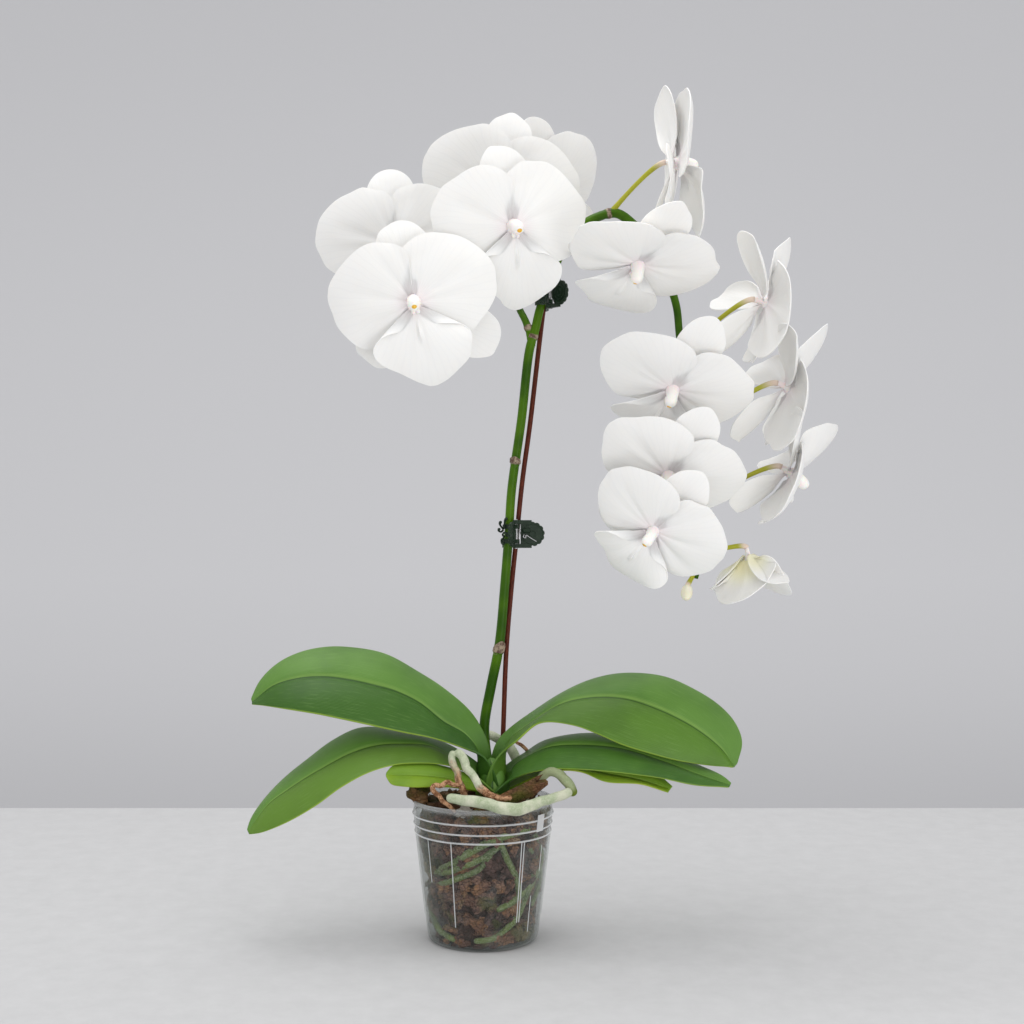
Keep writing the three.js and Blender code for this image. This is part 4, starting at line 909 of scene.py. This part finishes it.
# %% Crown: the short stem inside the bases of the leaves
CROWN = Path([(8, 2, 116), (8, 1, 126), (8, 2, 140), (7, 3, 150), (6, 3, 154)])
CROWN_RADII = through([8, 12, 11.5, 9, 5])
crown = tube("leaf_crown", CROWN, lambda s, turn: CROWN_RADII(s) * (1 + 0.06 * np.cos(3 * turn)), 30, 28, True)
dress(crown, "leaf", "crown", material=LEAF_GREEN)

# %% [markdown]
# ## Flower stalks
# Two stalks carry the blooms. The main one rises beside its stake and arches over; a branch leaves
# it below the arch. Every joint is a ring, and the two lowest carry a dry papery scale. From the upper
# part grow thin flower stems, which go from green to nearly white as they near their blooms.

# %% Bloom places: stalk, joint, place of the hub, facing (yaw, pitch, roll) and changes of shape
BLOOMS = {
    "left_1": ("branch", 0.995, (-54, -81, 534.5), (2, -7, 12), {"right_sepal": 1.3, "size": 1.02}),
    "left_2": ("branch", 0.08, (25.6, -55, 600.5), (18, -8, 6), {"lip": -14, "right_sepal": 0.8}),
    "left_3": ("branch", 0.72, (-74, -18, 592), (3, -6, 5), {"size": 0.97}),
    "left_4": ("branch", 0.51, (15, 12, 643), (8, -12, -10), {}),
    "left_5": ("branch", 0.37, (60, 84, 660), (40, -30, 30), {"size": 0.92}),
    "right_1": ("main", 0.602, (167, 0, 666), (92, -4, -15),
                {"sweep": 10, "back": -8, "lip": 14, "twist": 14, "cup": -4}),
    "right_2": ("main", 0.7, (128, -58, 570), (-4, -66, -33), {"size": 0.96, "sweep": 7}),
    "right_3": ("main", 0.77, (243, 0, 546), (94, -16, 45),
                {"size": 0.95, "sweep": 22, "back": 10, "twist": 35, "cup": -8}),
    "right_4": ("main", 0.81, (158, -48, 468), (-14, -52, -34), {"size": 0.97, "sweep": 4}),
    "right_5": ("main", 0.85, (263, 2, 473), (93, -23, 60),
                {"size": 0.95, "sweep": 20, "twist": 35, "cup": -8}),
    "right_6": ("main", 0.885, (154, -50, 397), (-12, -46, -35), {"size": 0.95, "right_sepal": 0.8}),
    "right_7": ("main", 0.92, (266, 4, 399), (80, -36, 46), {"size": 0.9, "sweep": 20, "twist": 30, "cup": -8}),
    "right_8": ("main", 0.985, (141, -62, 351), (-30, -36, -48), {"size": 0.88}),
    "right_9": ("main", 0.975, (229, 4, 325), (50, -80, 20),
                {"size": 0.72, "sweep": 62, "back": -56, "lip": 30, "cream": 1}),
}
BUD = ("main", 0.99, (175, -3, 297), (-20, -60, 0), {})
BUD_RADII = (5.2, 4.6, 7.5)
NECK = 11


def bloom_axes(yaw, pitch, roll):
    """Right, up and facing of a bloom. Yaw turns it to the viewer's right, pitch up, and roll anticlockwise."""
    y, p = math.radians(yaw), math.radians(pitch)
    facing = Vector((math.sin(y) * math.cos(p), -math.cos(y) * math.cos(p), math.sin(p)))
    right = Vector((math.cos(y), math.sin(y), 0))
    spin = Matrix.Rotation(math.radians(roll), 3, facing)
    return np.array([spin @ right, spin @ facing.cross(right), facing])


# %% The two stalks
MAIN_STALK = Path([
    (5, 14, 140), (1, 25, 166), (1, 25, 182), (7, 21, 215), (14, 16, 251), (19, 13, 307), (22, 11.5, 346),
    (24.5, 10, 385), (33, 8, 446), (40, 6, 506), (45, 5, 524), (49, 4, 541), (55, 3, 557), (62, 2, 577),
    (69, 2, 593),
    (82, 2, 610), (98, 3, 620), (115, 5, 624), (129, 6, 615), (145, 6, 595), (159, 6, 568), (167, 6, 544),
    (170, 6, 516),
    (176, 8, 480), (183, 8, 441), (189, 8, 402), (192, 8, 363), (189, 8, 329), (183, 4, 309)])
BRANCH_STALK = Path([
    (42, 6, 509), (39.8, 6, 522), (36.4, 9, 532), (31.8, 15, 542), (29, 27, 553), (29, 48, 574), (26, 76, 590),
    (16, 100, 606), (6, 110, 632),
    (-5, 102, 656), (-22, 80, 666), (-42, 56, 654), (-62, 40, 630), (-76, 32, 600), (-84, 25, 562),
    (-85, 12, 531),
    (-79, -9, 514), (-72, -26, 512)])
MAIN_JOINTS = [0.128, 0.32, 0.447, 0.6, 0.654]
BRANCH_JOINTS = [0.036]


def stalk_tube(name, path, radii, joints, steps):
    def radius(share, turn):
        r = np.interp(share, *zip(*radii))
        for joint in joints:
            away = (share - joint) * path.length
            r = r + 0.7 * np.exp(-(away / 2.2) ** 2) - 0.3 * np.exp(-((away + 3.2) / 1.0) ** 2)
        return r * (1 + 0.02 * np.cos(3 * turn + 14 * share))
    stalk = tube(name, path, radius, steps, 20)
    share = path.nearest(points_of(stalk), 400)
    dry = sum(np.exp(-(((share - joint) * path.length) / 2.8) ** 2) for joint in joints)
    mark(stalk, "dry", np.minimum(dry, 1))
    mark(stalk, "pale", 0.12 * share)
    return stalk


# %% Flower stems and the papery scales at the joints
STEM_RADII = through([2.8, 2.2, 2.0, 1.95, 2.0, 2.2, 2.5])
SCALE_THICKNESS = 0.35


def flower_stem(name, path, joint, at, facing, depth):
    axes = bloom_axes(*facing)
    end = np.array(at, float) - axes[2] * (depth - 1)
    foot = path.at(joint)[0]
    reach = np.linalg.norm(end - foot) / 3
    leave = end - axes[2] * 0.5 * reach - foot
    leave *= reach / np.linalg.norm(leave)
    near_end = end - axes[2] * 0.4 * reach
    t = np.linspace(0, 1, 13)[:, None]
    route = ((1 - t) ** 3 * foot + 3 * t * (1 - t) ** 2 * (foot + leave) + 3 * t**2 * (1 - t) * near_end
             + t**3 * end)
    line = Path(route)
    stem = tube(name, line, lambda s, turn: STEM_RADII(s) * (1 + 0.05 * np.cos(3 * turn)), 30, 12)
    share = np.linalg.norm(points_of(stem) - foot, axis=1) / max(np.linalg.norm(end - foot), 1)
    mark(stem, "pale", 0.35 + 0.78 * share)
    mark(stem, "dry", np.exp(-(share * line.length / 2.5) ** 2) * 0.5)
    return stem


def scale_leaf(name, path, joint, side, length, radius):
    """Small pointed sheath that wraps a stalk above a joint; `side` is where its middle lies, in degrees."""
    def place(u, v):
        share = np.clip(joint + (u * length - 1.5) / path.length, 0, 1)
        rings, which = np.unique(share, return_inverse=True)
        turn = math.radians(side) + (2 * v - 1) * math.radians(95) * (1 - u**2.2)
        return path.round(rings, which, radius + 0.35 + 0.9 * u**2, turn)
    scale = sheet(name, 10, 10, place)
    modify(scale, "SOLIDIFY", thickness=SCALE_THICKNESS * MM, offset=0)
    mark(scale, "dry", 0.95)
    mark(scale, "pale", 0.3)
    return scale


# %% Put the stalks together
def stalk_piece(name, which, path, radii, joints, scales, steps, extra):
    parts = [stalk_tube(name, path, radii, joints, steps)]
    for label, (stalk, joint, at, facing, _) in BLOOMS.items():
        if stalk == which:
            parts.append(flower_stem(f"stem_{label}", path, joint, at, facing, NECK))
    for joint, side, length in scales:
        r = np.interp(joint, *zip(*radii)) + 0.5
        parts.append(scale_leaf(f"{name}_scale_{side}", path, joint, side, length, r))
    return join(parts + extra, name)


bud_stem = flower_stem("stem_bud", MAIN_STALK, BUD[1], BUD[2], BUD[3], BUD_RADII[2])
# share of the stalk and its radius there
MAIN_RADII = [(0, 4.5), (0.12, 4.3), (0.2, 4.0), (0.27, 3.85), (0.44, 3.9), (0.49, 3.6), (0.58, 4.0),
              (0.64, 4.2), (0.7, 3.4), (0.85, 2.9), (1, 2.5)]
BRANCH_RADII = [(0, 3.3), (0.1, 2.9), (1, 2.2)]
# joint, side in degrees and length of each papery scale
SCALES = [(0.128, 200, 11), (0.32, 170, 6)]
main_stalk = stalk_piece("flower_stalk", "main", MAIN_STALK, MAIN_RADII, MAIN_JOINTS, SCALES, 460, [bud_stem])
branch_stalk = stalk_piece("flower_branch", "branch", BRANCH_STALK, BRANCH_RADII, BRANCH_JOINTS, [], 240, [])

# %% Stalk finish
look = Finish("stalk_green")
spot = look.spot()
pale = look.read("pale")
dry = look.read("dry")
fleck = look.noise(spot, 240, 4, 0.65)
broad = look.noise(spot, 24, 2, 0.5)
skin = look.mix(look.ramp(broad, 0.35, 0.65), (40, 76, 2), (72, 110, 6))
skin = look.mix(look.ramp(pale, 0.15, 0.5), skin, (164, 164, 52))
skin = look.mix(look.ramp(pale, 0.97, 1.12), skin, (226, 206, 190))
husk = look.mix(look.ramp(fleck, 0.4, 0.6), (92, 72, 62), (160, 144, 124))
skin = look.mix(look.ramp(dry + (fleck - 0.5) * 0.5, 0.35, 0.75), skin, husk)
STALK = look.skin(skin, 0.4, {"Specular IOR Level": 0.14, "Normal": look.bump(fleck, 0.0006, 0.3)})
dress(main_stalk, "stalk", "stalk_main", material=STALK)
dress(branch_stalk, "stalk", "stalk_branch", material=STALK)

# %% [markdown]
# ## Blooms
# A bloom has three narrow sepals at the back, two very broad petals over them, and here a lip that is
# as broad as a petal, with a small raised keel. In the middle stands the column with a yellow spot on its
# cap. All the blades are one formula with different measures: a middle line that is an arc, a
# rounded outline, and edges that cup and ripple. Every bloom draws its small differences from a
# seeded row of numbers, so that it's the same each time.

# %% Measures of the blades
PETAL = {"length": 67, "width": 84, "rise": 8, "fall": -28, "cup": -2, "wave": 1.6, "waves": 2, "flare": 0.1,
         "lift": 0.8, "skew": 4, "keel": 0}
SEPAL = {"length": 67, "width": 42, "rise": -10, "fall": -22, "cup": 1.5, "wave": 0, "waves": 1, "flare": 0.05,
         "lift": -4.0, "skew": 0, "keel": 0}
SIDE_SEPAL = {**SEPAL, "length": 59}
LIP = {"length": 67, "width": 80, "rise": 34, "fall": -30, "cup": -2, "wave": 2.6, "waves": 3, "flare": 0.3,
       "lift": 3.2, "skew": 0, "keel": 2.4}
BASE_RADIUS = 4.2
BASE_HALF_WIDTH = 1.6
PETAL_THICKNESS = 0.75


def seeded(seed):
    """Row of repeatable numbers from 0 to 1."""
    state = int(seed) & 0xFFFFFFFF
    while True:
        state = (state * 1664525 + 1013904223) & 0xFFFFFFFF
        yield state / 4294967296


# %% Outlines: along and across the blade from the hub, in mm, anticlockwise as seen from the front
PETAL_LINE = [(0, 0), (5.5, -5), (9, -12), (10.8, -20.6), (13.5, -30), (19, -39), (27, -42.5), (38, -40.5),
              (50, -34), (58.5, -26), (64.5, -16.5), (67.5, -6), (67, 5), (62.5, 16), (55, 27), (46, 36.5),
              (37, 42), (28, 44.2), (18.3, 43.5), (10.8, 39.6), (7.6, 33.3), (7.6, 26), (10.4, 18.1),
              (10.6, 11.8), (7, 6.2), (0, 0)]
LIP_LINE = [(0, 0), (7, -2), (13, -3.6), (18.5, -8), (21.5, -15), (21.8, -23), (24.5, -31), (31, -36.3),
            (39, -36), (46, -30), (51, -21), (57, -14), (64, -8), (68.5, 1), (64, 11), (57, 22), (49, 31.5),
            (41, 36), (32, 36.2), (25.5, 31), (22, 23), (21, 15), (18.5, 8), (13, 3.6), (7, 2), (0, 0)]
SEPAL_SIDE = [(5, 3.4), (12, 9.5), (24, 16.5), (38, 20.4), (50, 20), (59.5, 16), (66.5, 9)]
SEPAL_LINE = [(0, 0)] + [(x, -y) for x, y in SEPAL_SIDE] + [(69, 0)] + SEPAL_SIDE[::-1] + [(0, 0)]


# %% The blade formula
def blade_place(shape, line, crease, u, v):
    """Point of a blade. u runs from the hub out to the edge, v round the edge."""
    flat = line.at(v)[:, :2] * u[:, None]
    reach = line.knots[:, 0].max()
    x = flat[:, 0] * (BASE_RADIUS + shape["length"]) / reach
    y = flat[:, 1] * shape["width"] / np.ptp(line.knots[:, 1])
    run = np.clip(x - BASE_RADIUS, 0, shape["length"])
    part = run / shape["length"]
    belly = 2 * np.sqrt(part * (1 - part))
    flare = 1 + shape["flare"] * (2 * part - 1)
    half = BASE_HALF_WIDTH + (shape["width"] / 2 - BASE_HALF_WIDTH) * belly * flare
    w = np.clip(y / half, -1.2, 1.2)
    rise = math.radians(shape["rise"])
    bend = (math.radians(shape["fall"]) - rise) / shape["length"]
    out = (np.sin(rise + bend * run) - math.sin(rise)) / bend
    arc = (math.cos(rise) - np.cos(rise + bend * run)) / bend
    phi = np.arccos(1 - 2 * part)
    z = shape["lift"] * np.minimum(x / BASE_RADIUS, 1) + arc + shape["cup"] * w * w * belly
    z += shape["wave"] * w * w * belly * np.sin(shape["waves"] * phi + 1.5 * w)
    # folds that spread from the hub, the edge that rolls back, and the raised keel of a lip
    angle = np.arctan2(y, np.maximum(x, 0.01))
    far = np.hypot(x, y) / reach
    for k in range(4):
        at = 0.95 * math.sin(2.1 * crease + 1.7 * k) if k else 0
        fold = np.exp(-((angle - at) / 0.13) ** 2) * np.sin(math.pi * np.clip(far * 1.15, 0, 1))
        z -= (0.8 if k else 1.1) * fold
    ripple = 1.2 * far * np.sin(3.1 * angle + crease) * np.sin(4 * far + 2 * crease)
    z += ripple - 1.3 * u**9 * np.clip(x / 25, 0, 1)
    if shape["keel"]:
        crest = np.clip((far - 0.20) / 0.2, 0, 1) * np.clip((0.5 - far) / 0.06, 0, 1)
        z += 1.7 * shape["keel"] * np.exp(-((y / 1.3) ** 2)) * crest
        z += 3.0 * u**8 * np.clip((np.abs(angle) - 0.42) / 0.35, 0, 1) * np.clip(far * 6, 0, 1)
    z -= shape.get("tuck", 0) * np.clip(y / 30, 0, 1) * np.clip(far * 2, 0, 1)
    twist = math.radians(shape.get("twist", 0)) * np.clip(3 * far, 0, 1)
    return np.column_stack([np.minimum(x, BASE_RADIUS) + out, y * np.cos(twist) + shape["skew"] * 0.3 * belly,
                            z + y * np.sin(twist)])


# %% A blade, the column and the neck
def flat_spin(degrees):
    """Matrix that turns points about Z when they are multiplied by it."""
    a = math.radians(degrees)
    return np.array([[math.cos(a), math.sin(a), 0], [-math.sin(a), math.cos(a), 0], [0, 0, 1]])


def blade(name, shape, line, turn, mirrored, crease, rows, columns):
    def place(u, v):
        points = blade_place(shape, line, crease, u, v)
        if mirrored:
            points[:, 1] *= -1
        return points @ flat_spin(turn)
    petal = sheet(name, rows, columns, place)
    merge(petal, 1e-5)
    mark(petal, "hub", np.linalg.norm(points_of(petal), axis=1) / 70)
    modify(petal, "SOLIDIFY", thickness=PETAL_THICKNESS * MM, offset=0)
    bpy.ops.object.shade_smooth_by_angle(angle=math.radians(50))
    return petal


def column_of(name, size):
    """The column with its cap, and the neck behind it, round an axis that bends down."""
    line = Path([(0, 0, -NECK), (0, 0, -4), (0, 0, 2), (0, 0.4, 8), (0, -1.4, 13), (0, -4.4, 17.5)])
    radii = through([2.3, 2.5, 3.2, 5.6, 6.4, 5.8, 5.2, 5.6, 5.4, 4.2])
    column = tube(name, line, lambda s, turn: radii(s) * size * (1 + 0.07 * np.cos(2 * turn)), 40, 20, True)
    places = points_of(column)
    cap = np.array([0, -3.6, 18.2])
    mark(column, "spot", np.clip(1 - np.linalg.norm((places - cap) / (3.0, 2.2, 3.2), axis=1), 0, 1) * 3)
    mark(column, "blush", np.clip((12 - places[:, 2]) / 9, 0, 1))
    return column


def callus(name, size):
    """The small two-lobed bump at the foot of the lip."""
    lobes = []
    for side in (-1, 1):
        lobe = start(bpy.ops.mesh.primitive_uv_sphere_add, segments=12, ring_count=8, radius=1)
        ball = points_of(lobe) * MM * (1.9 * size, 2.7 * size, 1.9 * size)
        set_points(lobe, ball + (1.7 * side * size, -6.6 * size, 6.4))
        lobes.append(lobe)
    bump = join(lobes, name)
    mark(bump, "spot", 0.42)
    mark(bump, "blush", 0.5)
    return bump


# %% One bloom
def bloom_piece(label, at, facing, changes):
    size = changes.get("size", 1)
    sweep, back, lip, twist, cup = (changes.get(name, 0) for name in ("sweep", "back", "lip", "twist", "cup"))
    row = seeded(at[0] + 7 * at[2])
    def shaped(shape, forward, stretch=1.0, twist=0):
        length = shape["length"] * stretch * size * (1 + (next(row) * 2 - 1) * 0.04)
        width = shape["width"] * size * (1 + (next(row) * 2 - 1) * 0.04)
        return {**shape, "length": length, "width": width, "twist": twist, "cup": shape["cup"] + cup,
                "rise": shape["rise"] + forward, "fall": shape["fall"] + forward + 6 * (next(row) - 0.5)}
    def drawn(outline):
        """The outline with small differences of its own."""
        return Path([(x * (1 + 0.05 * (next(row) - 0.5)), y * (1 + 0.05 * (next(row) - 0.5)), 0)
                     for x, y in outline])
    lip_wave = LIP["wave"] * (1.5 if label.startswith("right") else 1)
    # shape, outline, turn from the right in degrees, and whether it is mirrored
    plan = [({**shaped(PETAL, sweep), "tuck": 3.4}, PETAL_LINE, 18, False),
            (shaped(SEPAL, -back, 1, twist), SEPAL_LINE, 90, False),
            (shaped(PETAL, sweep), PETAL_LINE, 162, True),
            (shaped(SIDE_SEPAL, -back, 1, twist), SEPAL_LINE, 218, False),
            ({**shaped(LIP, lip), "wave": lip_wave}, LIP_LINE, 270, False),
            (shaped(SIDE_SEPAL, -back, changes.get("right_sepal", 1), -twist), SEPAL_LINE, 322, True)]
    blades = [blade(f"blade_{label}_{k}", shape, drawn(line), turn, mirrored, k + at[0] % 7, 20,
                    110 if line is LIP_LINE else 68) for k, (shape, line, turn, mirrored) in enumerate(plan)]
    petals = join(blades, f"bloom_{label}_petals")
    petals.data.materials.append(PETAL_WHITE)
    mark(petals, "cream", changes.get("cream", 0))
    middle = [column_of(f"column_{label}", size), callus(f"callus_{label}", size)]
    middle = join(middle, f"bloom_{label}_column")
    middle.data.materials.append(COLUMN)
    bloom = join([petals, middle], f"orchid_bloom_{label}")
    set_points(bloom, points_of(bloom) @ bloom_axes(*facing) + at)
    return bloom


# %% Petal finish
look = Finish("petal_white")
v = look.split(look.add("UVMap"))[1]
spot = look.spot()
drift = look.noise(spot, 60, 2, 0.5)
veins = look.ramp(look.add("Math", {"operation": "SINE"}, {0: v * 210 + drift * 7}), 0.55, 1.0)
hub = look.read("hub")
near_hub = 1 - look.ramp(hub, 0.06, 0.36)
flush = 1 - look.ramp(hub, 0.08, 0.3)
white = look.mix(look.noise(spot, 9, 2, 0.5), (241, 240, 239), (240, 239, 236))
cream = look.read("cream")
white = look.mix(flush * 0.25, white, (240, 220, 228))
white = look.mix(cream * (1 - look.ramp(hub, 0.1, 0.5)) * 0.8, white, (243, 240, 196))
white = look.mix(veins * near_hub * 0.16, white, (214, 168, 192))
white = look.mix(veins * 0.04, white, (204, 204, 214))
crumple = look.noise(spot, 420, 3, 0.55)
PETAL_WHITE = look.skin(white, 0.55, {
    "Specular IOR Level": 0.28, "Subsurface Weight": 0.3, "Subsurface Radius": (1.0, 0.9, 0.8),
    "Subsurface Scale": 0.0015, "Sheen Weight": 0.08,
    "Normal": look.bump(veins * 0.2 + crumple * 0.35, 0.0004, 0.3)})

look = Finish("column_white")
yellow = look.read("spot")
blush = look.read("blush")
wax = look.mix(blush * 0.32, (250, 248, 242), (238, 208, 218))
wax = look.mix(look.ramp(yellow, 0.45, 0.9), wax, (236, 186, 62))
COLUMN = look.skin(wax, 0.4, {"Subsurface Weight": 0.3, "Subsurface Scale": 0.002})

# %% Make the blooms
for label, (_, _, at, facing, changes) in BLOOMS.items():
    dress(bloom_piece(label, at, facing, changes), "petal", f"bloom_{label}")

# %% [markdown]
# ## Bud, stake and clips
# The bud is a small pointed egg with three seams. The stake is a thin red-brown rod. The clips keep
# their solid jaws and pins, which get their finish here. Pads, fingers and springs are made after that.

# %% Bud
bud = start(bpy.ops.mesh.primitive_uv_sphere_add, segments=36, ring_count=20, radius=1)
bud.name = "flower_bud"
ball = points_of(bud) * MM
turn = np.arctan2(ball[:, 1], ball[:, 0])
seam = 1 - 0.10 * np.abs(np.cos(1.5 * turn)) ** 6 * (1 - ball[:, 2] ** 2)
ball = ball * np.column_stack([seam, seam, np.ones(len(seam))])
set_points(bud, (ball * BUD_RADII) @ bloom_axes(*BUD[3]) + BUD[2])
bpy.ops.object.shade_smooth()
look = Finish("bud_cream")
spot = look.spot()
tint = look.mix(look.noise(spot, 120, 3, 0.5), (246, 244, 232), (232, 226, 186))
dress(bud, "bud", "bud", material=look.skin(tint, 0.5, {
    "Subsurface Weight": 0.2, "Subsurface Scale": 0.002,
    "Normal": look.bump(look.noise(spot, 700, 3, 0.6), 0.0004, 0.3)}))

# %% Stake
STAKE = Path([(12, 30, 8), (15, 26, 118), (17, 24, 170), (20, 20, 245), (25, 17, 307), (29, 15, 345),
              (34, 14, 394), (41, 13, 446), (51, 12.5, 533), (54, 12.5, 556), (56, 12.5, 571)])
stake = tube("stake_rod", STAKE, lambda s, turn: 2.15 + 0.06 * np.sin(5 * turn + 30 * s), 90, 20)
look = Finish("stained_stake")
spot = look.spot()
grain = look.noise(look.stretched(spot, (1, 1, 0.04)), 2600, 5, 0.65)
tint = look.mix(look.ramp(grain, 0.35, 0.65), (58, 20, 12), (102, 46, 28))
dress(stake, "stake", "stake", material=look.skin(tint, 0.45, {
    "Specular IOR Level": 0.14, "Normal": look.bump(grain, 0.0005, 0.4)}))

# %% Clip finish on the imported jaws, and steel on the pins
PINS = {"clip_lower": (28.5, 3.5, 347), "clip_upper": (57, -5, 552.5)}
look = Finish("dark_green_plastic")
spot = look.spot()
grain = look.noise(spot, 1400, 3, 0.6)
tint = look.mix(look.noise(spot, 200, 3, 0.6), (16, 30, 20), (40, 58, 42))
CLIP = look.skin(tint, look.ramp(grain, 0.2, 0.8) * 0.15 + 0.24, {
    "Specular IOR Level": 0.22, "Normal": look.bump(grain, 0.0004, 0.3)})
look = Finish("spring_steel")
tint = look.mix(look.noise(look.spot(), 900, 3, 0.6), (176, 176, 178), (206, 206, 208))
STEEL = look.skin(tint, 0.3, {"Metallic": 1})
for clip in PINS:
    for part, finish in (("jaw_fixed", CLIP), ("jaw_moving", CLIP), ("pin", STEEL)):
        paint(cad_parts[f"{clip}_{part}"], finish)

# %% [markdown]
# Each jaw's pad gets a scalloped rim and raised rings, and the lower moving jaw the curled fingers at
# its tip. These ride on the jaw's own body, so they swing with it. The springs stay where they are, so
# each is a wire wound round the pin, on the plant's body.

# %% Pads and curled fingers
PAD_REACH = 14.0


def scalloped_pad(name, pin, angle, rings):
    """Round pad with thirteen lobes, upright, on the line from the pin at the given angle."""
    def radius(share, turn):
        lobes = 9.75 + 0.95 * np.abs(np.cos(6.5 * (turn + math.pi / 26))) ** 0.7
        return lobes * (1 - 0.03 * np.abs(2 * share - 1) ** 4)
    parts = [tube(name, Path([(0, -0.95, 0), (0, 0, 0), (0, 0.95, 0)]), radius, 6, 156, first=(1, 0, 0))]
    for ring in rings:
        for side in (-0.95, 0.95):
            hoop = start(bpy.ops.mesh.primitive_torus_add, major_radius=ring, minor_radius=0.4,
                         major_segments=48, minor_segments=8)
            set_points(hoop, points_of(hoop)[:, (0, 2, 1)] * MM + (0, side, 0))
            parts.append(hoop)
    pad = join(parts, name)
    set_points(pad, (points_of(pad) + (PAD_REACH, 0, 0)) @ flat_spin(angle) + pin)
    only(pad)
    bpy.ops.object.shade_smooth_by_angle(angle=math.radians(40))
    return pad


PADS = [("clip_lower", "fixed", 0, (2.6, 8.8)), ("clip_lower", "moving", -105, (3.4, 5.2, 7, 8.8)),
        ("clip_upper", "fixed", -52, (2.6, 5.7, 8.8)), ("clip_upper", "moving", -118, (2.6, 5.7, 8.8))]
for clip, jaw, angle, rings in PADS:
    pad = scalloped_pad(f"{clip}_{jaw}_pad", PINS[clip], angle, rings)
    dress(pad, "clip", material=CLIP, body=f"{clip}_moving" if jaw == "moving" else BODY)

web = start(bpy.ops.mesh.primitive_cube_add, size=1)
web.name = "clip_lower_web"
set_points(web, points_of(web) * MM * (5.4, 1.3, 17.4) + (35.0, 3.5, 347))
dress(web, "clip", material=CLIP)

FINGERS = [[(19.5, 6.6, 351.5), (18.4, 5.8, 355.5), (19.4, 5.4, 359.5), (21, 5.6, 361)],
           [(18, 7.8, 351), (15.8, 6.8, 353), (14.4, 6.6, 356), (15.8, 6.6, 358.2)],
           [(17.6, 8.5, 350.6), (15.2, 7.6, 348.8), (13.4, 7.4, 350), (14.4, 7.2, 352.2)],
           [(18.6, 7, 344), (16.8, 6, 346.5), (18.6, 5.4, 348.4), (20.6, 5.6, 346.8), (19.6, 5.8, 344.8)],
           [(18, 7.8, 343.5), (15.8, 6.8, 342), (16.4, 6.4, 339), (18.8, 6.2, 338.6)]]
FINGER_RADII = through([1.1, 0.9, 0.8, 0.9, 1.35, 1.3])
fingers = [tube(f"finger_{i}", Path(points), lambda s, turn: FINGER_RADII(s), 24, 12, True)
           for i, points in enumerate(FINGERS)]
dress(join(fingers, "clip_lower_fingers"), "clip", material=CLIP, body="clip_lower_moving")

# The barrel between jaw and pad, and the free end of the spring that lies on the pad
barrel = tube("clip_lower_barrel", Path([(33.5, 1.4, 350), (37, 1.3, 350), (41, 1.3, 349.6)]),
              lambda s, turn: 1.9 + 0.12 * np.cos(8 * turn) + 0 * s, 20, 40, True)
dress(barrel, "clip", material=CLIP)
wire = tube("clip_lower_wire", Path([(35.4, 1.3, 346.6), (34.6, 1.3, 344.4), (36.6, 1.3, 343.8), (37, 1.3, 346),
                                     (41, 1.4, 343.6), (46, 1.5, 340.6)]), lambda s, turn: 0.42 + 0 * s, 60, 8)
dress(wire, "steel", material=STEEL)

# %% Coil springs
for clip, pin in PINS.items():
    t = np.linspace(0, 1, 161)
    angle = 2 * math.pi * 8 * t + 0.8
    coil = np.column_stack([2.3 * np.cos(angle), 2.3 * np.sin(angle), -3.7 + 7.4 * t])
    leg = np.array([(6.5, 2.0, 3.7), (8.6, 2.0, 3.7)])
    wire = tube(f"{clip}_coil", Path(np.vstack([coil, leg]) + pin), lambda s, turn: 0.36 + 0 * s, 380, 8)
    dress(wire, "steel", f"{clip}_spring", material=STEEL)

# %% [markdown]
# ## Count the triangles
# The last line prints how many triangles all the meshes in the scene have.

# %% Triangle count
meshes = [piece.data for piece in scene.objects if piece.type == "MESH"]
print("triangles in all", sum(len(face.vertices) - 2 for mesh in meshes for face in mesh.polygons))
